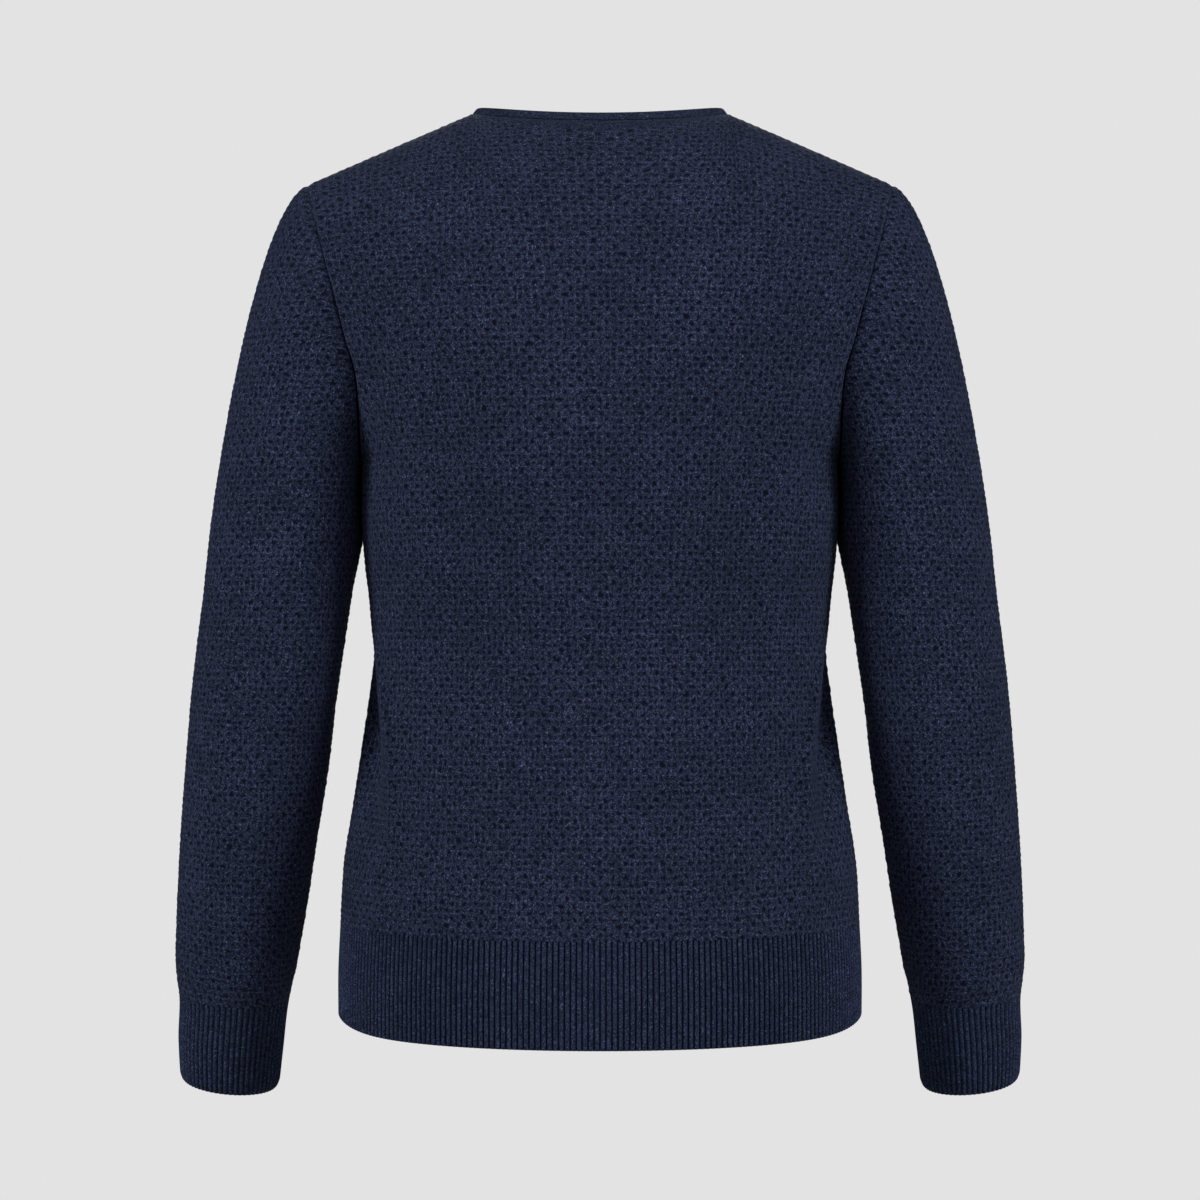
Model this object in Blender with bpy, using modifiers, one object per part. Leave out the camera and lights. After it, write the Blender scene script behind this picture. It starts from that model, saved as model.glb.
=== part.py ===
"""A fitted, hip-length cardigan in moss-stitch knit with ribbed hem and cuffs, in metres, +Z up.

It is filled out as if worn, with nothing inside. The front faces -Y and the wearer's left is +X.
The origin lies midway between the two neck points, where the shoulders carry the cardigan, and
the cardigan hangs below it.
"""

import math
from collections import namedtuple

import bmesh
import bpy
import numpy as np
from mathutils import Matrix, Vector

# Cloth and gaps
KNIT_WALL = 0.0026
RIB_WALL = 0.0024
BAND_WALL = 0.0022
NECK_WALL = 0.0030
GAP = 0.0003
HALF_GAP = GAP / 2
RIB_RAISE = 0.0009

# Heights of the body, from the neck points down
HEM_BOTTOM = -0.5990
HEM_TOP = -0.5315
ARMPIT = -0.2275
YOKE = -0.1375

# Neck: a wide round neck, a little lower at the back and clearly lower at the front
NECK_HALF = 0.0845
NECK_BACK_DEPTH = 0.0550
NECK_FRONT_DEPTH = 0.0800
NECK_BACK_DROP = 0.0110
NECK_FRONT_DROP = 0.0880
NECK_BAND_HEIGHT = 0.0062
BAND_LEAN_SIDE = math.radians(52)
BAND_LEAN_CENTRE = math.radians(63)

# Shoulder and armhole
SHOULDER_TIP_X = 0.1925
SHOULDER_TIP_Z = -0.0460
ARMHOLE_BACK = 0.0610
ARMHOLE_FRONT = 0.0540
EDGE_TURN = math.radians(50)
QUARTER_PULL = 1.657

# The share of a panel's columns that end at the neck edge; the others end at the shoulder seam
NECK_SHARE = 0.455
NECK_COLUMNS = np.linspace(0, NECK_SHARE, 9)
SHOULDER_COLUMNS = np.linspace(NECK_SHARE, 1, 8)[1:]

# Rough lengths of the surface, which turn a gap at a seam into a share of the piece
HALF_BACK_LENGTH = 0.19
FRONT_LENGTH = 0.17
HEM_HALF_LENGTH = 0.225
YOKE_LENGTH = 0.085
SLEEVE_HEAD_LENGTH = 0.10
NEAR_SEAM = 0.005

# Front opening: two bands on each other, with a row of buttons
UNDER_HALF = 0.0135
OVER_HALF = 0.0155
BUTTON_COUNT = 7
BUTTON_RADIUS = 0.0072
BUTTON_THICKNESS = 0.0030
BUTTON_LOWEST = HEM_BOTTOM + 0.030
BUTTON_HIGHEST = -0.1010

# Ribs, counted across each piece: about 4 mm each on the body and 3.9 mm on the cuffs
HALF_BACK_RIBS = 58
FRONT_RIBS = 54
CUFF_RIBS = 52
BAND_RIBS = 8

NAVY = (0.016, 0.022, 0.048, 1.0)
NAVY_RIB = (0.015, 0.021, 0.046, 1.0)
NAVY_BUTTON = (0.010, 0.014, 0.032, 1.0)

# The body's outline at the side seam, its depth at centre back and centre front
BodyRow = namedtuple("BodyRow", "z half_width back front")
BODY_ROWS = (
    BodyRow(-0.5990, 0.1722, 0.1230, 0.1180),
    BodyRow(-0.5625, 0.1722, 0.1222, 0.1180),
    BodyRow(-0.5315, 0.1708, 0.1205, 0.1175),
    BodyRow(-0.4925, 0.1686, 0.1175, 0.1160),
    BodyRow(-0.4525, 0.1625, 0.1125, 0.1135),
    BodyRow(-0.4125, 0.1570, 0.1080, 0.1100),
    BodyRow(-0.3825, 0.1535, 0.1050, 0.1080),
    BodyRow(-0.3475, 0.1502, 0.1030, 0.1070),
    BodyRow(-0.3205, 0.1519, 0.1040, 0.1090),
    BodyRow(-0.2925, 0.1551, 0.1070, 0.1130),
    BodyRow(-0.2625, 0.1570, 0.1110, 0.1180),
    BodyRow(-0.2275, 0.1570, 0.1145, 0.1215),
    BodyRow(-0.1990, 0.1562, 0.1155, 0.1220),
    BodyRow(-0.1715, 0.1580, 0.1145, 0.1205),
    BodyRow(-0.1505, 0.1640, 0.1125, 0.1180),
    BodyRow(-0.1375, 0.1672, 0.1110, 0.1160),
)

# The sleeve's inner and outer edge, its centre and half depth front to back, and how far its
# section tips: out is the rise of the outer edge, fore is the rise of the front edge
SleeveRow = namedtuple("SleeveRow", "z inner outer centre_y half_depth tip_out tip_fore")
SLEEVE_ROWS = (
    SleeveRow(-0.2825, 0.1584, 0.2576, 0.0020, 0.0525, 0.0000, 0.0000),
    SleeveRow(-0.3205, 0.1643, 0.2614, 0.0035, 0.0515, 0.0000, 0.0000),
    SleeveRow(-0.3469, 0.1683, 0.2647, 0.0040, 0.0505, 0.0005, 0.0005),
    SleeveRow(-0.3865, 0.1742, 0.2693, 0.0025, 0.0490, 0.0010, 0.0010),
    SleeveRow(-0.4261, 0.1791, 0.2731, -0.0020, 0.0475, 0.0015, 0.0020),
    SleeveRow(-0.4797, 0.1883, 0.2779, -0.0100, 0.0450, 0.0020, 0.0030),
    SleeveRow(-0.5202, 0.1950, 0.2809, -0.0170, 0.0430, 0.0025, 0.0040),
    SleeveRow(-0.5473, 0.2001, 0.2823, -0.0210, 0.0412, 0.0030, 0.0040),
    SleeveRow(-0.5608, 0.2026, 0.2829, -0.0230, 0.0400, 0.0030, 0.0040),
    SleeveRow(-0.5743, 0.2060, 0.2820, -0.0250, 0.0380, 0.0030, 0.0040),
    SleeveRow(-0.5830, 0.2080, 0.2810, -0.0262, 0.0366, 0.0030, 0.0040),
    SleeveRow(-0.6153, 0.2123, 0.2819, -0.0300, 0.0348, 0.0033, 0.0040),
    SleeveRow(-0.6425, 0.2156, 0.2811, -0.0335, 0.0330, 0.0035, 0.0040),
)
SLEEVE_TOP = SLEEVE_ROWS[0].z
CUFF_TOP = -0.5830
CUFF_BOTTOM = SLEEVE_ROWS[-1].z

# How the sleeve head leaves the armhole, from the armpit (0) to the shoulder tip (180): the pull
# outwards, backwards and down at the armhole, and the pull down where the sleeve is a plain tube
HeadRow = namedtuple("HeadRow", "angle out aside down end_down")
HEAD_ROWS = (
    HeadRow(0, 0.0080, 0.0000, 0.0550, 0.0500),
    HeadRow(45, 0.0350, 0.0120, 0.0500, 0.0800),
    HeadRow(90, 0.0750, 0.0060, 0.0700, 0.1200),
    HeadRow(135, 0.0950, 0.0000, 0.0600, 0.1100),
    HeadRow(180, 0.1060, 0.0000, 0.0455, 0.1000),
)

# Soft folds below the waist, one on each side of the back: the path's angle from centre back at
# each height, and how deep the trough beside it is
FoldRow = namedtuple("FoldRow", "z left_turn right_turn left_depth right_depth")
FOLD_ROWS = (
    FoldRow(-0.5315, 50.0, 50.0, 0.0000, 0.0000),
    FoldRow(-0.4850, 53.0, 54.0, 0.0005, 0.0003),
    FoldRow(-0.4550, 56.0, 57.0, 0.0030, 0.0015),
    FoldRow(-0.4200, 62.0, 62.0, 0.0045, 0.0035),
    FoldRow(-0.3900, 69.0, 70.0, 0.0045, 0.0045),
    FoldRow(-0.3600, 80.0, 82.0, 0.0025, 0.0025),
    FoldRow(-0.3300, 90.0, 92.0, 0.0000, 0.0000),
)
FOLD_WIDTH = math.radians(9)
RIDGE_SHARE = 0.35


def through(knots, values):
    """A smooth function that passes through the values at the knots."""
    knots = np.array(knots, float)
    values = np.array(values, float)
    slopes = np.gradient(values, knots)

    def at(x):
        x = np.clip(x, knots[0], knots[-1])
        i = np.clip(np.searchsorted(knots, x, side="right") - 1, 0, len(knots) - 2)
        span = knots[i + 1] - knots[i]
        t = (x - knots[i]) / span
        start = (1 + 2 * t) * (1 - t) ** 2 * values[i] + t * (1 - t) ** 2 * span * slopes[i]
        end = t * t * (3 - 2 * t) * values[i + 1] + t * t * (t - 1) * span * slopes[i + 1]
        return start + end

    return at


def columns(rows, key):
    """Each column of a table as a smooth function of the key column."""
    rows = sorted(rows, key=lambda row: getattr(row, key))
    knots = [getattr(row, key) for row in rows]
    return {
        name: through(knots, [getattr(row, name) for row in rows])
        for name in rows[0]._fields
        if name != key
    }


BODY = columns(BODY_ROWS, "z")
SLEEVE = columns(SLEEVE_ROWS, "z")
HEAD = columns(HEAD_ROWS, "angle")
FOLD = columns(FOLD_ROWS, "z")


def bump(distance, width):
    return np.exp(-((distance / width) ** 2))


def fold_depth(side, x_side, angle, z):
    """How far the surface moves in at this place, for the soft fold on that side of the back."""
    round_body = np.where(side > 0, angle, math.pi - angle)
    path = np.where(x_side > 0, FOLD["left_turn"](z), FOLD["right_turn"](z))
    depth = np.where(x_side > 0, FOLD["left_depth"](z), FOLD["right_depth"](z))
    past = round_body - np.radians(path)
    trough = bump(past - FOLD_WIDTH, FOLD_WIDTH)
    ridge = RIDGE_SHARE * bump(past + 0.5 * FOLD_WIDTH, FOLD_WIDTH)
    return depth * (trough - ridge)


def section(side, z):
    """The body's section at height z: edge x, edge y, centre y and the turn at its edge."""
    half = BODY["half_width"](z)
    centre = np.where(side > 0, BODY["back"](z), BODY["front"](z))
    reach = np.where(side > 0, ARMHOLE_BACK, ARMHOLE_FRONT)
    share = np.sqrt(np.clip(1 - ((YOKE - z) / (YOKE - ARMPIT)) ** 2, 0, 1))
    edge_y = reach * share
    turn = math.pi / 2 - (math.pi / 2 - EDGE_TURN) * share
    return half, edge_y, centre, turn


def row_point(side, x_side, angle, z):
    """A point of the body's row at height z, at an angle counted from the centre line."""
    half, edge_y, centre, turn = section(side, z)
    x = half * np.sin(angle) / np.sin(turn)
    y = edge_y + (centre - edge_y) * (np.cos(angle) - np.cos(turn)) / (1 - np.cos(turn))
    inward = fold_depth(side, x_side, angle, z)
    x = x - inward * np.sin(angle)
    y = y - inward * np.cos(angle)
    return np.stack(np.broadcast_arrays(x_side * x, side * y, z), -1)


def row_angle(side, x_side, inner_x, across, z):
    """The row's angle at a share of the way from inner_x to the panel's outer edge."""
    half, edge_y, centre, turn = section(side, z)
    start = np.arcsin(inner_x * np.sin(turn) / half)
    return start + across * (turn - start)


def neck_point(side, x_side, angle):
    """A point of the neck edge, at an angle of 0 at its centre and 90 degrees at the neck point."""
    depth = np.where(side > 0, NECK_BACK_DEPTH, NECK_FRONT_DEPTH)
    drop = np.where(side > 0, NECK_BACK_DROP, NECK_FRONT_DROP)
    x = NECK_HALF * np.sin(angle)
    y = depth * np.cos(angle)
    z = -drop * np.cos(angle) ** np.where(side > 0, 1.6, 1.8)
    return np.stack(np.broadcast_arrays(x_side * x, side * y, z), -1)


def neck_lean(side, angle):
    """The direction in which the cloth reaches the neck edge, as a slope above the horizontal."""
    centre_slope = np.where(side > 0, math.radians(52), math.radians(56))
    return centre_slope * np.cos(angle) ** np.where(side > 0, 1.5, 0.6)


def top_point(side, x_side, inner_x, across):
    """The panel's top edge: along the neck, then down the shoulder seam to its tip."""
    start = np.arcsin(inner_x / NECK_HALF)
    angle = start + np.clip(across / NECK_SHARE, 0, 1) * (math.pi / 2 - start)
    down = np.clip((across - NECK_SHARE) / (1 - NECK_SHARE), 0, 1)
    point = neck_point(side, x_side, angle)
    tip = np.array([SHOULDER_TIP_X - NECK_HALF, 0.0, SHOULDER_TIP_Z])
    along = down[..., None] * tip * np.stack(np.broadcast_arrays(x_side, 0 * x_side, 1.0), -1)
    return point + along, neck_lean(side, angle)


def hermite(start, start_pull, end, end_pull, t):
    t = np.asarray(t)[..., None]
    return (
        (1 + 2 * t) * (1 - t) ** 2 * start
        + t * (1 - t) ** 2 * start_pull
        + t * t * (3 - 2 * t) * end
        + t * t * (t - 1) * end_pull
    )


def yoke_point(side, x_side, angle, top, lean, t):
    """Above the yoke line the cloth curves over from the row at YOKE to the top edge."""
    base = row_point(side, x_side, angle, YOKE)
    below = row_point(side, x_side, angle, YOKE - 0.004)
    rise = QUARTER_PULL * (top[..., 2] - YOKE)
    start_pull = (base - below) / 0.004 * rise[..., None]
    run = top - base
    back = QUARTER_PULL * np.abs(run[..., 1])
    end_pull = np.stack(
        np.broadcast_arrays(0.0, -side * back * np.cos(lean), back * np.sin(lean)), -1
    )
    return hermite(base, start_pull, top, end_pull, t)


def row_height(v):
    """Height for v from 0 at the hem rib to 1 at the armpit and 2 at the yoke line."""
    low = HEM_TOP + np.clip(v, 0, 1) * (ARMPIT - HEM_TOP)
    high = YOKE - (YOKE - ARMPIT) * np.cos(np.clip(v - 1, 0, 1) * math.pi / 2)
    return np.where(v <= 1, low, high)


def panel_point(side, x_side, inner_x, across, v):
    """A point of the body's outer surface, across from inner_x to the seam, v from 0 up to 3."""
    side, x_side, across, v = np.broadcast_arrays(side, x_side, across, np.asarray(v, float))
    z = row_height(v)
    plain = row_point(side, x_side, row_angle(side, x_side, inner_x, across, z), z)
    top, lean = top_point(side, x_side, inner_x, across)
    yoke_angle = row_angle(side, x_side, inner_x, across, YOKE)
    yoke = yoke_point(side, x_side, yoke_angle, top, lean, np.clip(v - 2, 0, 1))
    return np.where((v <= 2)[..., None], plain, yoke)


def strip_point(x, v):
    """A point of the front's surface at distance x from centre front, v from -1 up to 4."""
    x, v = np.broadcast_arrays(x, np.asarray(v, float))
    x_side = np.where(x < 0, -1.0, 1.0)
    side = -np.ones_like(x_side)
    hem_z = HEM_TOP + np.clip(v, -1, 0) * (HEM_TOP - HEM_BOTTOM)
    z = np.where(v < 0, hem_z, row_height(v))
    half, edge_y, centre, turn = section(side, z)
    plain = row_point(side, x_side, np.arcsin(np.abs(x) * np.sin(turn) / half), z)
    neck_angle = np.arcsin(np.abs(x) / NECK_HALF)
    top = neck_point(side, x_side, neck_angle)
    lean = neck_lean(side, neck_angle)
    half, edge_y, centre, turn = section(side, YOKE)
    yoke_angle = np.arcsin(np.abs(x) * np.sin(turn) / half)
    yoke = yoke_point(side, x_side, yoke_angle, top, lean, np.clip(v - 2, 0, 1))
    band = band_point(side, x_side, neck_angle, np.clip(v - 3, 0, 1))
    lower = np.where((v <= 2)[..., None], plain, yoke)
    return np.where((v <= 3)[..., None], lower, band)


def band_point(side, x_side, angle, up):
    """A point of the neck band, up from 0 at the neck edge to 1 at the band's top."""
    lean = BAND_LEAN_SIDE + (BAND_LEAN_CENTRE - BAND_LEAN_SIDE) * np.cos(angle)
    edge = neck_point(side, x_side, angle)
    inward = np.stack(
        np.broadcast_arrays(-x_side * np.sin(angle), -side * np.cos(angle), 0 * angle), -1
    )
    rise = np.stack(np.broadcast_arrays(0 * angle, 0 * angle, np.sin(lean)), -1)
    direction = inward * np.cos(lean)[..., None] + rise
    return edge + direction * (np.asarray(up) * NECK_BAND_HEIGHT)[..., None]


def armhole_point(x_side, angle):
    """The armhole's seam line, from the armpit (0) up the back to the tip (180) and round."""
    side = np.where(angle <= 180, 1.0, -1.0)
    climb = np.where(angle <= 180, angle, 360 - angle)
    inner_x = np.where(side > 0, 0.0, UNDER_HALF)
    return panel_point(side, x_side, inner_x, 1.0, 1 + climb / 90)


def sleeve_section(x_side, angle, z):
    """A point of the sleeve's section at height z; the angle is 0 at its inner edge."""
    turn = np.radians(angle)
    inner, outer = SLEEVE["inner"](z), SLEEVE["outer"](z)
    wide = -np.cos(turn)
    deep = np.sin(turn)
    x = (inner + outer) / 2 + wide * (outer - inner) / 2
    y = SLEEVE["centre_y"](z) + deep * SLEEVE["half_depth"](z)
    height = z + wide * SLEEVE["tip_out"](z) - deep * SLEEVE["tip_fore"](z)
    return np.stack(np.broadcast_arrays(x_side * x, y, height), -1)


def sleeve_point(x_side, angle, w):
    """A point of the sleeve, w from 0 at the armhole to 1 at the tube's top and 2 at the cuff."""
    angle, w = np.broadcast_arrays(np.asarray(angle, float), np.asarray(w, float))
    climb = np.where(angle <= 180, angle, 360 - angle)
    aside = np.where(angle <= 180, 1.0, -1.0)
    start = armhole_point(x_side, angle)
    end = sleeve_section(x_side, angle, SLEEVE_TOP)
    start_pull = np.stack(
        [x_side * HEAD["out"](climb), aside * HEAD["aside"](climb), -HEAD["down"](climb)], -1
    )
    end_down = HEAD["end_down"](climb)
    drift = sleeve_section(x_side, angle, SLEEVE_TOP - 0.01) - end
    end_pull = drift / 0.01 * end_down[..., None]
    head = hermite(start, start_pull, end, end_pull, np.clip(w, 0, 1))
    z = SLEEVE_TOP + np.clip(w - 1, 0, 1) * (CUFF_TOP - SLEEVE_TOP)
    tube = sleeve_section(x_side, angle, z)
    return np.where((w <= 1)[..., None], head, tube)


def normals(points, closed=False):
    """Outward unit normals of a grid of points, from its neighbours along rows and columns."""
    up = np.gradient(points, axis=0)
    if closed:
        along = np.roll(points, -1, axis=1) - np.roll(points, 1, axis=1)
    else:
        along = np.gradient(points, axis=1)
    cross = np.cross(along, up)
    return cross / np.linalg.norm(cross, axis=-1, keepdims=True)


def material(name, colour, roughness):
    made = bpy.data.materials.new(name)
    made.use_nodes = True
    shader = made.node_tree.nodes["Principled BSDF"]
    shader.inputs["Base Color"].default_value = colour
    shader.inputs["Roughness"].default_value = roughness
    shader.inputs["Metallic"].default_value = 0.0
    return made


def clear_scene():
    for thing in list(bpy.data.objects):
        bpy.data.objects.remove(thing)


def named_object(name, mesh, finish, collection):
    made = bpy.data.objects.new(name, mesh)
    mesh.materials.append(finish)
    collection.objects.link(made)
    mesh.shade_smooth()
    return made


def grid_faces(rows, cols, first, closed):
    """Quads of a grid of points whose numbers start at first, row by row."""
    faces = []
    for row in range(rows - 1):
        for col in range(cols if closed else cols - 1):
            following = (col + 1) % cols
            low, high = first + row * cols, first + (row + 1) * cols
            faces.append((low + col, low + following, high + following, high + col))
    return faces


def cloth_shell(name, points, wall, finish, collection, closed=False):
    """An open grid of the outer surface, given its wall by Solidify on the inner side."""
    rows, cols, _ = points.shape
    mesh = bpy.data.meshes.new(name)
    mesh.from_pydata(points.reshape(-1, 3).tolist(), [], grid_faces(rows, cols, 0, closed))
    shell = named_object(name, mesh, finish, collection)
    solidify = shell.modifiers.new("wall", "SOLIDIFY")
    solidify.thickness = wall
    solidify.offset = -1.0
    return shell


def strip_faces(upper, lower):
    """Triangles that join two lines of point numbers with unlike counts."""
    faces = []
    i = j = 0
    while i < len(upper) - 1 or j < len(lower) - 1:
        next_upper = (i + 1) / max(len(upper) - 1, 1)
        next_lower = (j + 1) / max(len(lower) - 1, 1)
        if j == len(lower) - 1 or (i < len(upper) - 1 and next_upper <= next_lower):
            faces.append((upper[i], upper[i + 1], lower[j]))
            i += 1
        else:
            faces.append((upper[i], lower[j + 1], lower[j]))
            j += 1
    return faces


def ribbed_wall(name, outer, inner, finish, collection, closed=False):
    """A wall lofted between a fine ribbed outer grid and a coarse plain inner grid."""
    mesh = bpy.data.meshes.new(name)
    rows, cols, _ = outer.shape
    inner_rows, inner_cols, _ = inner.shape
    first = rows * cols
    faces = grid_faces(rows, cols, 0, closed) + grid_faces(inner_rows, inner_cols, first, closed)
    outer_ids = np.arange(first).reshape(rows, cols)
    inner_ids = first + np.arange(inner_rows * inner_cols).reshape(inner_rows, inner_cols)
    if closed:
        outer_ids = np.hstack([outer_ids, outer_ids[:, :1]])
        inner_ids = np.hstack([inner_ids, inner_ids[:, :1]])
    else:
        faces += strip_faces(list(outer_ids[:, 0]), list(inner_ids[:, 0]))
        faces += strip_faces(list(outer_ids[:, -1]), list(inner_ids[:, -1]))
    faces += strip_faces(list(outer_ids[0]), list(inner_ids[0]))
    faces += strip_faces(list(outer_ids[-1]), list(inner_ids[-1]))
    points = np.vstack([outer.reshape(-1, 3), inner.reshape(-1, 3)])
    mesh.from_pydata(points.tolist(), [], [tuple(int(n) for n in face) for face in faces])
    shape = bmesh.new()
    shape.from_mesh(mesh)
    bmesh.ops.recalc_face_normals(shape, faces=shape.faces)
    if shape.calc_volume(signed=True) < 0:
        bmesh.ops.reverse_faces(shape, faces=shape.faces)
    shape.to_mesh(mesh)
    shape.free()
    made = named_object(name, mesh, finish, collection)
    mesh.set_sharp_from_angle(angle=math.radians(40))
    return made


def ribbed(points, closed=False):
    """Sinks every second column of a grid by the depth of the ribs."""
    raised = points.copy()
    sink = normals(points, closed) * RIB_RAISE
    raised[:, ::2] -= sink[:, ::2]
    return raised


def to_seam(shares, gap_share):
    """Ends the shares half a gap short, with a line close by that squares the wall's end face."""
    last = shares[-1]
    return np.concatenate([shares[:-1], [last - NEAR_SEAM, last - gap_share]])


def panel_heights():
    """Rows of a body panel from the hem rib to the top edge, held off both seams."""
    below = np.linspace(0, 1, 12)[:-1]
    beside_armhole = np.linspace(1, 2, 5)[:-1]
    rows = np.concatenate([below, beside_armhole, np.linspace(2, 3, 8)])
    rows[0] = HALF_GAP / (ARMPIT - HEM_TOP)
    return to_seam(rows, HALF_GAP / YOKE_LENGTH)


def build_back(finish, collection):
    """The back, from side seam to side seam and up to the neck and shoulder seams."""
    columns_used = np.concatenate([NECK_COLUMNS[1:], SHOULDER_COLUMNS])
    half = to_seam(columns_used, HALF_GAP / HALF_BACK_LENGTH)
    shares = np.concatenate([-half[::-1], [0.0], half])
    across, v = np.meshgrid(shares, panel_heights())
    x_side = np.where(across < 0, -1.0, 1.0)
    points = panel_point(1.0, x_side, 0.0, np.abs(across), v)
    return cloth_shell("back", points[:, ::-1], KNIT_WALL, finish, collection)


def build_front(name, x_side, finish, collection):
    """One front, from the under band's seam to the side seam, and up to neck and shoulder."""
    columns_used = np.concatenate([NECK_COLUMNS, SHOULDER_COLUMNS])
    shares = to_seam(columns_used, HALF_GAP / FRONT_LENGTH)
    shares[0] = HALF_GAP / FRONT_LENGTH
    across, v = np.meshgrid(shares, panel_heights())
    points = panel_point(-1.0, x_side, UNDER_HALF, across, v)
    if x_side < 0:
        points = points[:, ::-1]
    return cloth_shell(name, points, KNIT_WALL, finish, collection)


def build_sleeve(name, x_side, finish, collection):
    """One sleeve, from the armhole seam round the head and down to the cuff."""
    angles = np.arange(20) * 18.0
    head = np.linspace(0, 1, 12)[1:-1]
    tube = np.linspace(1, 2 - HALF_GAP / (SLEEVE_TOP - CUFF_TOP), 13)
    heights = np.concatenate([[GAP / SLEEVE_HEAD_LENGTH, 0.03], head, tube])
    angle, w = np.meshgrid(angles, heights)
    points = sleeve_point(x_side, angle, w)
    if x_side > 0:
        points = points[:, ::-1]
    return cloth_shell(name, points[::-1], KNIT_WALL, finish, collection, closed=True)


def build_cuff(name, x_side, finish, collection):
    """One cuff, a ribbed tube below the sleeve."""
    heights = np.array([CUFF_BOTTOM, (CUFF_BOTTOM + CUFF_TOP) / 2, CUFF_TOP - HALF_GAP])
    angle, z = np.meshgrid(np.linspace(0, 360, 2 * CUFF_RIBS, endpoint=False), heights)
    outer = sleeve_section(x_side, angle, z)
    if x_side > 0:
        outer = outer[:, ::-1]
    inner = (outer - normals(outer, True) * RIB_WALL)[::2, ::4]
    return ribbed_wall(name, ribbed(outer, True), inner, finish, collection, closed=True)


def hem_point(side, x_side, inner_x, across, z):
    return row_point(side, x_side, row_angle(side, x_side, inner_x, across, z), z)


def build_hem_back(finish, collection):
    """The back's hem rib, between the side seams."""
    heights = np.array([HEM_BOTTOM, (HEM_BOTTOM + HEM_TOP) / 2, HEM_TOP - HALF_GAP])
    ribs = 2 * HALF_BACK_RIBS
    shares = np.linspace(-1, 1, 2 * ribs + 1) * (1 - HALF_GAP / HEM_HALF_LENGTH)
    across, z = np.meshgrid(shares, heights)
    outer = hem_point(1.0, np.where(across < 0, -1.0, 1.0), 0.0, np.abs(across), z)[:, ::-1]
    inner = (outer - normals(outer) * RIB_WALL)[::2, ::4]
    return ribbed_wall("hem_back", ribbed(outer), inner, finish, collection)


def build_hem_front(name, x_side, finish, collection):
    """One front's hem rib, from the under band to the side seam."""
    heights = np.array([HEM_BOTTOM, (HEM_BOTTOM + HEM_TOP) / 2, HEM_TOP - HALF_GAP])
    gap_share = HALF_GAP / HEM_HALF_LENGTH
    shares = np.linspace(gap_share, 1 - gap_share, 2 * FRONT_RIBS + 1)
    across, z = np.meshgrid(shares, heights)
    outer = hem_point(-1.0, x_side, UNDER_HALF, across, z)
    if x_side < 0:
        outer = outer[:, ::-1]
    inner = (outer - normals(outer) * RIB_WALL)[::2, ::6]
    return ribbed_wall(name, ribbed(outer), inner, finish, collection)


def build_neck_band(finish, collection):
    """The narrow band round the neck, open at centre front where the front bands pass."""
    start = math.asin(UNDER_HALF / NECK_HALF)
    front = start + NECK_COLUMNS / NECK_SHARE * (math.pi / 2 - start)
    front[0] = math.asin((UNDER_HALF + HALF_GAP) / NECK_HALF)
    back = NECK_COLUMNS[-2::-1] / NECK_SHARE * math.pi / 2
    angle = np.concatenate([front, back, back[-2::-1], front[::-1]])
    side = np.concatenate([-np.ones(front.size), np.ones(2 * back.size - 1), -np.ones(front.size)])
    x_side = np.concatenate([np.ones(front.size + back.size), -np.ones(front.size + back.size - 1)])
    up = np.array([GAP / NECK_BAND_HEIGHT, 0.5, 1.0])
    points = np.stack([band_point(side, x_side, angle, share) for share in up])
    return cloth_shell("neck_band", points, NECK_WALL, finish, collection)


def strip_heights():
    """Rows down the front bands, at the same heights as the rows of hem, front and neck band."""
    return np.concatenate([[-1.0, -0.5], panel_heights(), [3.5, 4.0]])


def build_under_band(finish, collection):
    """The button band on the wearer's left front, flush with both fronts."""
    half = UNDER_HALF - HALF_GAP
    x, v = np.meshgrid(np.linspace(-half, half, 3), strip_heights())
    return cloth_shell("placket_left", strip_point(x, v), BAND_WALL, finish, collection)


def build_over_band(finish, collection):
    """The buttonhole band on the wearer's right front, laid over the button band."""
    x, v = np.meshgrid(np.linspace(-OVER_HALF, OVER_HALF, 2 * BAND_RIBS + 1), strip_heights())
    surface = strip_point(x, v)
    raised = surface + normals(surface) * (GAP + BAND_WALL)
    inner = (surface + normals(surface) * GAP)[:, ::8]
    return ribbed_wall("placket_right", ribbed(raised), inner, finish, collection)


def button_mesh():
    """The half outline of a button with a raised rim, top to bottom, to be turned."""
    rim = BUTTON_RADIUS
    thick = BUTTON_THICKNESS
    outline = [
        (0.0, 0.7 * thick),
        (0.62 * rim, 0.7 * thick),
        (0.78 * rim, thick),
        (0.92 * rim, thick),
        (rim, 0.75 * thick),
        (rim, 0.3 * thick),
        (0.85 * rim, 0.0),
        (0.0, 0.0),
    ]
    mesh = bpy.data.meshes.new("button")
    edges = [(n, n + 1) for n in range(len(outline) - 1)]
    mesh.from_pydata([(r, 0.0, z) for r, z in outline], edges, [])
    return mesh


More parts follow.
